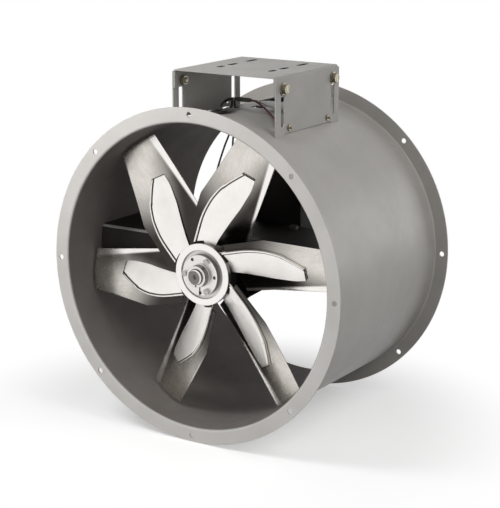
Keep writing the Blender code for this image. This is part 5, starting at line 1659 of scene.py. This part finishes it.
@dataclass
class Fasteners:
    """Hex bolts, nuts and washers, with rolled threads where a shank's end shows."""

    head: float = 0.0105
    head_height: float = 0.0075
    shank: float = 0.006
    thread_pitch: float = 0.00175
    thread_depth: float = 0.0008
    washer: float = 0.0125
    washer_thickness: float = 0.0025
    nut_height: float = 0.009
    past_nut: float = 0.003
    threaded_length: float = 0.015
    flat_share: float = 0.86
    drop_share: float = 0.62
    past_corner: float = 0.0002
    screw_head: float = 0.0065
    screw_head_top: float = 0.0058
    screw: float = 0.0038
    screw_end: float = -0.0242

    def hex_block(self, name: str, radius: float, span: Point2, world: Matrix, both: bool) -> Piece:
        """A hexagon block whose corners are turned down to a cone, as on a real head or nut.

        Args:
            name: The object's name.
            radius: From its axis to a corner.
            span: Its lower and its upper height.
            world: Its place.
            both: Whether both ends are turned down.

        Returns:
            The block.
        """
        shape = bmesh.new()
        low, high = span
        middle = moved(0, 0, (low + high) / 2)
        size = {"segments": 6, "radius1": radius, "radius2": radius, "depth": high - low}
        bmesh.ops.create_cone(shape, cap_ends=True, matrix=middle, **size)
        prism = link_mesh(name, shape, world)
        flat, beyond = radius * self.flat_share, radius + self.past_corner
        drop = (radius - flat) * self.drop_share
        profile = [(0, high), (flat, high), (beyond, high - drop - 0.0001)]
        if both:
            profile += [(beyond, low + drop + 0.0001), (flat, low), (0, low)]
        else:
            profile += [(beyond, low - 0.001), (0, low - 0.001)]
        turned = lathe(f"{name}_turned", profile, world, 60)
        return cut(prism, turned, operation="INTERSECT", angle=SHARP_THREAD)

    def threaded(self, name: str, low: float, high: float, thread_to: float, world: Matrix) -> Piece:
        """A shank with a rolled thread from its low end up.

        Args:
            name: The object's name.
            low: The shank's end.
            high: Its upper end, inside the head.
            thread_to: How far up the thread runs.
            world: Its place.

        Returns:
            The shank.
        """
        profile: list[Point2] = [(0, low), (self.shank - 0.0016, low)]
        height = low + 0.0012
        while height < thread_to:
            profile.append((self.shank, height))
            profile.append((self.shank - self.thread_depth, height + self.thread_pitch / 2))
            height += self.thread_pitch
        profile += [(self.shank, height), (self.shank, high), (0, high)]
        return lathe(name, profile, world, 32, angle=SHARP_THREAD)

    def bolt(self, name: str, world: Matrix, span: Point2, body: Body, node: str, finish: Finish) -> None:
        """A bolt: its turned-down hex head over a threaded shank.

        Args:
            name: The piece's name.
            world: Its place, its head up along Z.
            span: The heights of the shank's end and of the head's underside.
            body: What it rides on.
            node: The CAD node that it stands for.
            finish: Its finish.
        """
        low, under = span
        head = self.hex_block(name, self.head, (under, under + self.head_height), world, both=False)
        thread_to = low + self.threaded_length
        shank = self.threaded(f"{name}_shank", low, under + 0.002, thread_to, world)
        bolt = cut(head, shank, operation="UNION", angle=SHARP_THREAD)
        show(bolt, finish, Slot.ZINC_PLATE, body, node)

    def nut(self, name: str, world: Matrix, span: Point2, body: Body, node: str) -> None:
        """A nut with both faces turned down and a bore for its bolt.

        Args:
            name: The piece's name.
            world: Its place.
            span: Its lower and its upper height.
            body: What it rides on.
            node: The CAD node that it stands for.
        """
        nut = self.hex_block(name, self.head, span, world, both=True)
        middle = world @ moved(0, 0, (span[0] + span[1]) / 2)
        bore = pegs(f"{name}_bore", self.shank + GAP, 0.03, [middle], 32)
        nut = cut(nut, bore, angle=SHARP_THREAD)
        show(nut, ZINC, Slot.ZINC_PLATE, body, node)

    def flat_washer(self, name: str, world: Matrix, low: float, node: str) -> None:
        """A punched washer with its upper edge rounded by the press.

        Args:
            name: The piece's name.
            world: Its place.
            low: The height of its underside.
            node: The CAD node that it stands for.
        """
        hole, edge, high = self.shank + GAP, 0.0006, low + self.washer_thickness
        profile = [
            (hole, low),
            (self.washer, low),
            *arc((self.washer - edge, high - edge), edge, 0, QUARTER, 4),
            *arc((hole + edge, high - edge), edge, QUARTER, 2 * QUARTER, 4),
        ]
        washer = lathe(name, profile, world, 64)
        show(washer, ZINC, Slot.ZINC_PLATE, Body.MOTOR_BASE, node)

    def build_base_set(self, motor: MotorFrame) -> None:
        """Bolt, washer and nut at each corner of the motor base.

        Args:
            motor: The motor frame, which says where the bolts are.
        """
        outer = motor.width / 2 + GAP + motor.sheet
        head_low = outer + self.washer_thickness + 2 * GAP
        nut_high = motor.width / 2 - motor.sheet - GAP
        nut_low = nut_high - self.nut_height
        body, reach = Body.MOTOR_BASE, (nut_low - self.past_nut, head_low)
        for side, side_name in ((-1, "left"), (1, "right")):
            turn = ALONG_X if side > 0 else ALONG_X @ Matrix.Rotation(math.pi, 4, "X")
            for y, end_name in zip(motor.bolt_stations(), ("front", "rear")):
                world = moved(motor.centre_x, y, motor.bolt_z()) @ turn
                label = f"{end_name}_{side_name}"
                self.bolt(f"clamp_bolt_{label}", world, reach, body, f"base_bolt_{label}", ZINC)
                self.flat_washer(f"clamp_washer_{label}", world, outer + GAP, f"base_washer_{label}")
                self.nut(f"clamp_nut_{label}", world, (nut_low, nut_high), body, f"base_nut_{label}")

    def build_bearing_set(self, places: Sequence[Vector], support: float, foot: float) -> None:
        """The four bolts and nuts that hold the bearings under their support.

        Args:
            places: Where the bolts pass through the support's top.
            support: The support's thickness.
            foot: The thickness of a bearing's foot.
        """
        nut_high = -(support + 2 * GAP + foot)
        nut_low = nut_high - self.nut_height
        body, reach = Body.HOUSING, (nut_low - self.past_nut, GAP)
        for index, place in enumerate(places):
            world = moved(*place)
            number = index + 1
            # The bearing bolts are painted almost black: painted shade.
            self.bolt(f"bearing_fixing_{number}", world, reach, body, f"bearing_bolt_{number}", SHADED_ZINC)
            nut_name = f"bearing_fixing_nut_{number}"
            self.nut(nut_name, world, (nut_low, nut_high), body, f"bearing_nut_{number}")

    def build_bushing_screws(self, hub: Hub) -> None:
        """The screws that pull the taper bushing into the hub.

        Args:
            hub: The hub, which says where they are.
        """
        face = hub.face + hub.recess_depth - GAP - hub.flange_thickness
        turn = ALONG_Y @ Matrix.Rotation(math.pi, 4, "X")
        span = GAP, self.screw_head_top
        profile = [(0, self.screw_end), (self.screw, self.screw_end), (self.screw, 0.003), (0, 0.003)]
        for index, place in enumerate(hub.screw_places(face)):
            world = moved(*place) @ turn
            number = index + 1
            head = self.hex_block(f"bushing_screw_head_{number}", self.screw_head, span, world, both=False)
            shank = lathe(f"screw_shank_{number}", profile, world, 28)
            screw = cut(head, shank, operation="UNION", angle=SHARP_THREAD)
            show(screw, CLEAR_ZINC, Slot.ZINC_PLATE, Body.PROPELLER, f"bushing_screw_{number}")


LineLook = tuple[Finish, Slot]
BLACK_LINE: LineLook = (BLACK_TUBE, Slot.BLACK_NYLON)
RED_LINE: LineLook = (RED_TUBE, Slot.RED_NYLON)
PALE_LINE: LineLook = (PALE_TUBE, Slot.NATURAL_NYLON)


@dataclass
class GreaseLines:
    """Inner lines, the loom that takes both out of the drum, its sleeve, outer lines and nipples."""

    line: float = 0.0020
    loom: float = 0.0030
    sleeve_x: float = -0.0205
    sleeve_length: float = 0.034
    sleeve_rise: float = 0.3282
    sleeve: float = 0.0046
    cap: float = 0.0038
    cap_length: float = 0.005
    grommet: Point2 = GROMMET_PLACE
    grommet_lip: float = 0.0105
    grommet_neck: float = 0.0075
    grommet_thickness: float = 0.0025
    support_inside: float = 0.015 + 0.1203
    nipple_rise_on_drum: float = 0.0135
    nipple_inset: float = 0.004
    nipple_y: Point2 = (-0.0835, 0.066)
    loom_route: tuple[Point3, ...] = (
        (-0.0370, -0.0120, 0.3165), (-0.0370, -0.0125, 0.3225), (-0.0350, -0.0175, 0.3300),
        (-0.0305, -0.0265, 0.3330), (-0.0255, -0.0365, 0.3295), (-0.0200, -0.0460, 0.3225),
        (-0.0135, -0.0565, 0.3180), (-0.0060, -0.0720, 0.3172), (-0.0005, -0.0880, 0.3172),
        (-0.0010, -0.1020, 0.3172), (-0.0085, -0.1130, 0.3171), (-0.0215, -0.1150, 0.3165),
        (-0.0315, -0.1070, 0.3158), (-0.0345, -0.0930, 0.3155), (-0.0355, -0.0750, 0.3154),
        (-0.0410, -0.0560, 0.3148), (-0.0515, -0.0380, 0.3140), (-0.0610, -0.0220, 0.3165),
        (-0.0625, -0.0090, 0.3220), (-0.0550, -0.0010, 0.3270), (-0.0450, 0.0, 0.3282),
    )
    outer_stations: tuple[Point2, ...] = (
        (0.0080, 0.3276), (0.0240, 0.3218), (0.0420, 0.3150), (0.0600, 0.3106), (0.0800, 0.3062),
        (0.1000, 0.3012), (0.1150, 0.2976), (0.1240, 0.2966),
    )
    front_ways: tuple[float, ...] = (-0.0030, -0.0070, -0.0150, -0.0280, -0.0460, -0.0670, -0.0800, -0.0835)
    rear_ways: tuple[float, ...] = (0.0030, 0.0060, 0.0130, 0.0240, 0.0380, 0.0540, 0.0640, 0.0660)
    inner_route: tuple[Point3, ...] = (
        (-0.0480, 0.000, 0.0), (-0.0580, 0.007, 0.0010), (-0.0680, 0.096, 0.0080),
        (-0.0720, 0.290, 0.0220), (-0.0702, 0.407, 0.0380), (-0.0700, 0.415, 0.0470),
        (-0.0700, 0.415, 0.0590), (-0.0700, 0.420, 0.0800), (-0.0680, 0.470, 0.1300),
        (-0.0620, 0.600, 0.1800), (-0.0520, 0.780, 0.2300), (-0.0420, 0.920, 0.2680),
    )
    inner_foot: float = 0.2950
    port_x: float = -0.042
    bearing_y: Point2 = BEARINGS_Y
    steps: int = 8

    def lay(self, name: str, knots: Sequence[Point3], radius: float, look: LineLook, node: str) -> None:
        """Lays one line along its knots.

        Args:
            name: The piece's name.
            knots: Points with heights counted from the fan's axis.
            radius: The line's radius.
            look: Its finish and the record's slot.
            node: The CAD node that it stands for.
        """
        points = smooth_route([Vector((x, y, AXIS_Z + rise)) for x, y, rise in knots], self.steps)
        line = tube(name, points, radius)
        show(line, *look, Body.HOUSING, node)

    def under_bore(self) -> float:
        """The height above the axis that clears the bore's facets, over the grommet's lower lip."""
        far = abs(self.grommet[0]) + self.grommet_lip
        return math.sqrt(DRUM_BORE**2 - far**2) * math.cos(math.pi / 72) - GAP

    def build_lines(self) -> None:
        """The two inner lines, the loom and the two outer lines."""
        foot = self.under_bore() - self.grommet_thickness - GAP
        for side, label, bearing_y in ((-1, "front", self.bearing_y[0]), (1, "rear", self.bearing_y[1])):
            way = self.grommet[1] - bearing_y
            route = [(x, bearing_y + way * share, rise) for x, share, rise in self.inner_route]
            end_x = self.grommet[0] + side * (self.line + GAP)
            up = [(end_x, self.grommet[1], rise) for rise in (self.inner_foot, foot - GAP)]
            knots = [(self.port_x, bearing_y, 0.0), *route, *up]
            self.lay(f"inner_line_{label}", knots, self.line, BLACK_LINE, f"grease_line_{label}_inner")
        sleeve_left = self.sleeve_x - self.sleeve_length / 2 - GAP
        knots = [(*self.grommet, foot), *self.loom_route, (sleeve_left, 0.0, self.sleeve_rise)]
        self.lay("loom", knots, self.loom, BLACK_LINE, "grease_line_loom")
        sleeve_right = self.sleeve_x + self.sleeve_length / 2 + GAP
        kinds = (
            (-1, "front", self.front_ways, RED_LINE, self.nipple_y[0]),
            (1, "rear", self.rear_ways, PALE_LINE, self.nipple_y[1]),
        )
        for side, label, ways, look, nipple_y in kinds:
            start = (sleeve_right, side * (self.line + GAP / 2), self.sleeve_rise)
            route = [(x, y, rise) for (x, rise), y in zip(self.outer_stations, ways)]
            knots = [start, *route, (self.nipple_start() - GAP, nipple_y, self.nipple_rise())]
            self.lay(f"outer_line_{label}", knots, self.line, look, f"grease_line_{label}_outer")

    def nipple_start(self) -> float:
        """Where the nipples' inner ends are along X."""
        return self.support_inside - self.nipple_inset

    def nipple_rise(self) -> float:
        """The nipples' height above the axis."""
        return math.sqrt(DRUM_OUTER**2 - self.support_inside**2) + self.nipple_rise_on_drum

    def build_ends(self) -> None:
        """The grommet, the sleeve that joins loom and outer lines, and the two nipples."""
        lip, neck, thick = self.grommet_lip, self.grommet_neck, self.grommet_thickness
        over = math.sqrt(DRUM_OUTER**2 - (abs(self.grommet[0]) - lip) ** 2) + GAP
        under, inner, soft = self.under_bore(), self.loom + GAP, 0.0010
        profile = [
            *arc((lip - soft, over + thick - soft), soft, QUARTER, 0, 4),
            (lip, over), (neck, over), (neck, under), (lip, under),
            *arc((lip - soft, under - thick + soft), soft, 0, -QUARTER, 4),
            (inner, under - thick), (inner, over + thick - soft),
            (inner + soft / 2, over + thick),
        ]
        grommet = lathe("grommet_ring", profile, moved(*self.grommet, AXIS_Z), 48)
        show(grommet, SLEEVE_RUBBER, Slot.RUBBER, Body.HOUSING, "grommet")
        half, cap, cap_length = self.sleeve_length / 2, self.cap, self.cap_length
        profile = [
            (0, half), (cap - 0.0005, half), (cap, half - 0.0005), (cap, half - cap_length),
            (self.sleeve - 0.0006, half - cap_length), (self.sleeve, half - cap_length - 0.0006),
            (self.sleeve, 0.0006 - half), (self.sleeve - 0.0006, -half), (0, -half),
        ]
        world = moved(self.sleeve_x, 0, AXIS_Z + self.sleeve_rise) @ ALONG_X
        sleeve = lathe("joining_sleeve", profile, world, 48)
        show(sleeve, SLEEVE_RUBBER, Slot.RUBBER, Body.HOUSING, "grease_line_sleeve")
        for y, label in zip(self.nipple_y, ("front", "rear")):
            self.build_nipple(label, y)

    def build_nipple(self, label: str, y: float) -> None:
        """A grease nipple: a hex collar outside the support and a ball end with its neck.

        Args:
            label: Its end of the fan.
            y: Its place along the fan.
        """
        low = self.nipple_inset + 0.003 + GAP
        high = low + 0.0028
        tip = high + 0.006
        profile = [
            (0, tip), (0.0012, tip), (0.0028, tip - 0.0012), (0.0030, tip - 0.0022),
            (0.0024, tip - 0.0036), (0.0024, high + 0.0008), (0.0030, high), (0.0056, high),
            (0.0058, high - 0.0004), (0.0058, low + 0.0003), (0.0055, low), (0.0034, low),
            (0.0034, 0), (0, 0),
        ]
        world = moved(self.nipple_start(), y, AXIS_Z + self.nipple_rise()) @ ALONG_X
        nipple = lathe(f"lubricator_{label}", profile, world, 32)
        show(nipple, ZINC, Slot.ZINC_PLATE, Body.HOUSING, f"grease_nipple_{label}")

    def build(self) -> None:
        """Lays the lines and makes their ends."""
        self.build_lines()
        self.build_ends()


@dataclass
class Interior:
    """What stands inside the drum: bearing support, bearings, belt tunnel and sheave."""

    bore: float = 0.3109
    support_front: float = -0.116
    support_rear: float = 0.092
    support_sheet: float = 0.005
    support_top: float = 0.0529
    wing_drop: float = 0.066
    waist_drop: float = 0.073
    centre_drop: float = 0.111
    waist_x: float = 0.120
    centre_x: float = 0.060
    bearing_y: Point2 = BEARINGS_Y
    bearing_height: float = 0.0476
    foot_length: float = 0.167
    foot_thickness: float = 0.017
    bearing_width: float = 0.038
    dome: float = 0.045
    bearing_bore: float = 0.0275
    bolt_spacing: float = 0.127
    line_holes: tuple[Point2, ...] = ((-0.070, -0.0547), (-0.070, 0.0301))
    tunnel_front: float = 0.098
    tunnel_rear: float = 0.168
    tunnel_half: float = 0.057
    tunnel_drop: float = 0.073
    tunnel_wall: float = 0.002
    shaft: float = SHAFT_RADIUS
    bend_outside: float = 0.008
    bend_inside: float = 0.003
    bolt_hole: float = 0.0063
    line_hole: float = 0.0045
    port: float = 0.0023
    bend_lean: float = 0.3
    ring_end: float = 0.0245
    ring_reach: float = 0.012
    sheave_rim: float = 0.052
    sheave_hub: float = 0.030
    groove_root: float = 0.041
    key_half: float = 0.00395
    key_room: float = 0.00425
    hub_key: Point2 = (-0.1958, -0.1453)

    def bolt_places(self) -> list[Vector]:
        """Where the bearings' bolts pass through the support's top."""
        height = AXIS_Z + self.support_top
        return [Vector((s * self.bolt_spacing / 2, y, height)) for y in self.bearing_y for s in (-1, 1)]

    def bore_cylinder(self, name: str) -> Piece:
        """A cylinder as wide as the drum's bore, which trims what is welded into it."""
        return pegs(name, self.bore, 0.6, [ON_AXIS @ ALONG_Y], 288)

    def build_support(self) -> None:
        """The support is one plate bent down at its front and rear, deepest round the shaft."""
        top, sheet = AXIS_Z + self.support_top, self.support_sheet
        low, outer, inner = top - self.centre_drop, self.bend_outside, self.bend_inside
        front, rear = self.support_front, self.support_rear
        section = [
            (front, low),
            (front + sheet, low),
            *arc((front + outer, top - outer), inner, 2 * QUARTER, QUARTER, 5),
            *arc((rear - outer, top - outer), inner, QUARTER, 0, 5),
            (rear - sheet, low),
            (rear, low),
            *arc((rear - outer, top - outer), outer, 0, QUARTER, 6),
            *arc((front + outer, top - outer), outer, QUARTER, 2 * QUARTER, 6),
        ]
        support = stretch_profile("bent_support", section, 0.64, PLANE_YZ)
        reach, floor = 0.33, low - 0.02
        side = [
            (self.centre_x, floor), (reach, floor), (reach, top - self.wing_drop),
            (self.waist_x, top - self.waist_drop), (self.centre_x + 0.004, low + 0.003),
            (self.centre_x, low - 0.001),
        ]
        mirrored = [(-across, height) for across, height in side]
        middle = (front + rear) / 2
        world = moved(0, middle, 0) @ FACING_FRONT
        sides = enumerate((side, mirrored))
        trims = [stretch_profile(f"support_trim_{index}", outline, 0.3, world) for index, outline in sides]
        shaft_way = pegs("support_shaft_way", self.shaft + 0.012, 0.3, [ON_AXIS @ ALONG_Y], 64)
        places = [moved(*place) for place in self.bolt_places()]
        bolts = pegs("support_bolt_holes", self.bolt_hole, 0.03, places, 32)
        places = [moved(*place, top) for place in self.line_holes]
        lines = pegs("support_line_holes", self.line_hole, 0.03, places, 32)
        support = cut(support, self.bore_cylinder("support_bore"), operation="INTERSECT")
        support = cut(support, *trims, shaft_way, bolts, lines)
        # The support is painted near black: painted shade.
        show(support, SHADED_INNER_ENAMEL, Slot.HOUSING_PAINT, Body.HOUSING, "bearing_support")
        # The front top bend gets a painted highlight.
        lean = self.bend_lean
        dress_zone(support, HIGHLIGHT_ENAMEL, lambda centre, normal: normal.y > lean and normal.x < -FACING)

    def build_tunnel(self) -> None:
        """The belt tunnel is a folded box open into the drum's wall, with a hole for the shaft."""
        low, high, wall = AXIS_Z - self.tunnel_drop, AXIS_Z + 0.33, self.tunnel_wall
        half, front, rear = self.tunnel_half, self.tunnel_front, self.tunnel_rear
        tunnel = soften(block("folded_tunnel", (-half, front, low), (half, rear, high)), 0.003, 3)
        inner = (-half + wall, front + wall, low + wall), (half - wall, rear - wall, high + 0.02)
        hollow = soften(block("tunnel_hollow", *inner), 0.001, 2)
        at_front = ON_AXIS @ moved(0, front, 0) @ ALONG_Y
        shaft_way = pegs("tunnel_shaft_way", self.shaft + 0.004, 0.02, [at_front], 64)
        tunnel = cut(tunnel, self.bore_cylinder("tunnel_bore"), operation="INTERSECT")
        tunnel = cut(tunnel, hollow, shaft_way)
        # The tunnel is painted near black: painted shade.
        show(tunnel, SHADED_INNER_ENAMEL, Slot.HOUSING_PAINT, Body.HOUSING, "belt_tunnel")

    def build_bearing(self, label: str, y: float, outward: int) -> None:
        """A cast pillow block with its foot up, and the ring that turns with the shaft.

        Args:
            label: Its end of the fan.
            y: Its middle along the fan.
            outward: The side of its longer ring end, 1 towards the rear.
        """
        top, half, reach = AXIS_Z + self.bearing_height, self.bearing_width / 2, self.foot_length / 2
        foot = block("foot", (-reach, y - half, top - self.foot_thickness), (reach, y + half, top))
        foot = soften(foot, 0.003, 3)
        at_bearing = moved(0, y, AXIS_Z)
        soft = 0.005
        width = half - GAP
        cheek = [
            (0, width),
            (self.dome - soft, width),
            *arc((self.dome - soft, width - soft), soft, QUARTER, 0, 5)[1:],
            *arc((self.dome - soft, soft - width), soft, 0, -QUARTER, 5)[:-1],
            (self.dome - soft, -width),
            (0, -width),
        ]
        dome = lathe(f"{label}_dome", cheek, at_bearing @ ALONG_Y, 96)
        housing = cut(foot, dome, operation="UNION", angle=SHARP_CASTING)
        bore = pegs("bore", self.bearing_bore, 0.06, [at_bearing @ ALONG_Y], 96)
        bolts = [moved(s * self.bolt_spacing / 2, y, top) for s in (-1, 1)]
        holes = pegs("bolt_holes", self.bolt_hole, 0.06, bolts, 32)
        port = pegs("port", self.port, 0.012, [moved(-self.dome, y, AXIS_Z) @ ALONG_X], 24)
        housing = cut(housing, bore, holes, port, angle=SHARP_CASTING)
        housing.name = f"pillow_block_{label}"
        show(housing, CAST_IRON, Slot.CAST_IRON, Body.HOUSING, f"bearing_housing_{label}")
        self.build_ring(label, y, outward)

    def build_ring(self, label: str, y: float, outward: int) -> None:
        """A bearing's inner ring, its longer end beside the housing.

        Args:
            label: Its end of the fan.
            y: Its middle along the fan.
            outward: The side of its longer end, 1 towards the rear.
        """
        inner, outer, end = self.shaft + GAP, self.bearing_bore - 2 * GAP, self.ring_end
        half, soft = self.bearing_width / 2, 0.0006
        far, shoulder = half + self.ring_reach, half + GAP
        profile = [
            (inner, far - soft), (inner + soft, far), (end - soft, far), (end, far - soft),
            (end, shoulder), (outer - soft, shoulder), (outer, shoulder - soft),
            (outer, soft - half), (outer - soft, -half), (inner + soft, -half),
            (inner, soft - half),
        ]
        turned = [(radius, outward * height) for radius, height in profile]
        ring = lathe(f"inner_ring_{label}", turned, moved(0, y, AXIS_Z) @ ALONG_Y, 96)
        show(ring, TURNED_STEEL, Slot.MACHINED_STEEL, Body.PROPELLER, f"bearing_ring_{label}")

    def build_sheave(self) -> None:
        """The grooved sheave that the belt turns, inside the tunnel."""
        middle, soft = (self.tunnel_front + self.tunnel_rear) / 2, 0.0008
        rim, hub, root, inner = self.sheave_rim, self.sheave_hub, self.groove_root, self.shaft + GAP
        half_rim, half_hub, top, bottom = 0.010, 0.017, 0.00675, 0.00325
        upper = [
            (inner, half_hub), (hub - soft, half_hub), (hub, half_hub - soft), (hub, half_rim),
            (rim - soft, half_rim), (rim, half_rim - soft), (rim, top), (root, bottom),
        ]
        profile = [*upper, *((radius, -height) for radius, height in reversed(upper))]
        world = moved(0, middle, AXIS_Z) @ ALONG_Y
        sheave = lathe("grooved_sheave", profile, world, 128)
        side, reach, ceiling = self.key_room, 0.03, AXIS_Z + self.shaft + 0.0039
        room = block("sheave_key_room", (-side, middle - reach, AXIS_Z), (side, middle + reach, ceiling))
        sheave = cut(sheave, room)
        show(sheave, CAST_IRON, Slot.CAST_IRON, Body.PROPELLER, "driven_sheave")
        self.build_key("sheave_drive_key", middle - half_hub, middle + half_hub, "sheave_key")

    def build_key(self, name: str, start: float, end: float, node: str) -> None:
        """A key that lies in the shaft's top."""
        low, high, side = AXIS_Z + self.shaft - 0.004, AXIS_Z + self.shaft + 0.0036, self.key_half
        key = soften(block(name, (-side, start + 0.001, low), (side, end - 0.001, high)), 0.0004, 2)
        show(key, TURNED_STEEL, Slot.MACHINED_STEEL, Body.PROPELLER, node)

    def build(self) -> None:
        """Makes everything inside the drum."""
        self.build_support()
        self.build_tunnel()
        self.build_bearing("front", self.bearing_y[0], 1)
        self.build_bearing("rear", self.bearing_y[1], -1)
        self.build_sheave()
        self.build_key("hub_drive_key", *self.hub_key, "hub_key")


def write_sizes() -> None:
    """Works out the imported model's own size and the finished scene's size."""
    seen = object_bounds()
    {"cad": plain(CAD_BOUNDS), "scene": plain(seen)}


def plain(value: object) -> object:
    """Turns nested vectors into plain lists of numbers."""
    if isinstance(value, (int, float)):
        return float(value)
    return [plain(part) for part in value]


def main() -> None:
    """Builds the studio and every sub-assembly, in order."""
    logging.basicConfig(level=logging.INFO, format="%(name)s: %(message)s")
    Studio().build()
    motor, hub, interior = MotorFrame(), Hub(), Interior()
    GreaseLines().build()
    for part in (Drum(), motor, interior, hub, Blades()):
        part.build()
        LOG.info("built %s", type(part).__name__)
    fasteners = Fasteners()
    fasteners.build_base_set(motor)
    fasteners.build_bearing_set(interior.bolt_places(), interior.support_sheet, interior.foot_thickness)
    fasteners.build_bushing_screws(hub)
    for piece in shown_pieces():
        LOG.info("piece %s", getattr(piece, "name", piece))
    write_sizes()


if __name__ == "__main__":
    main()
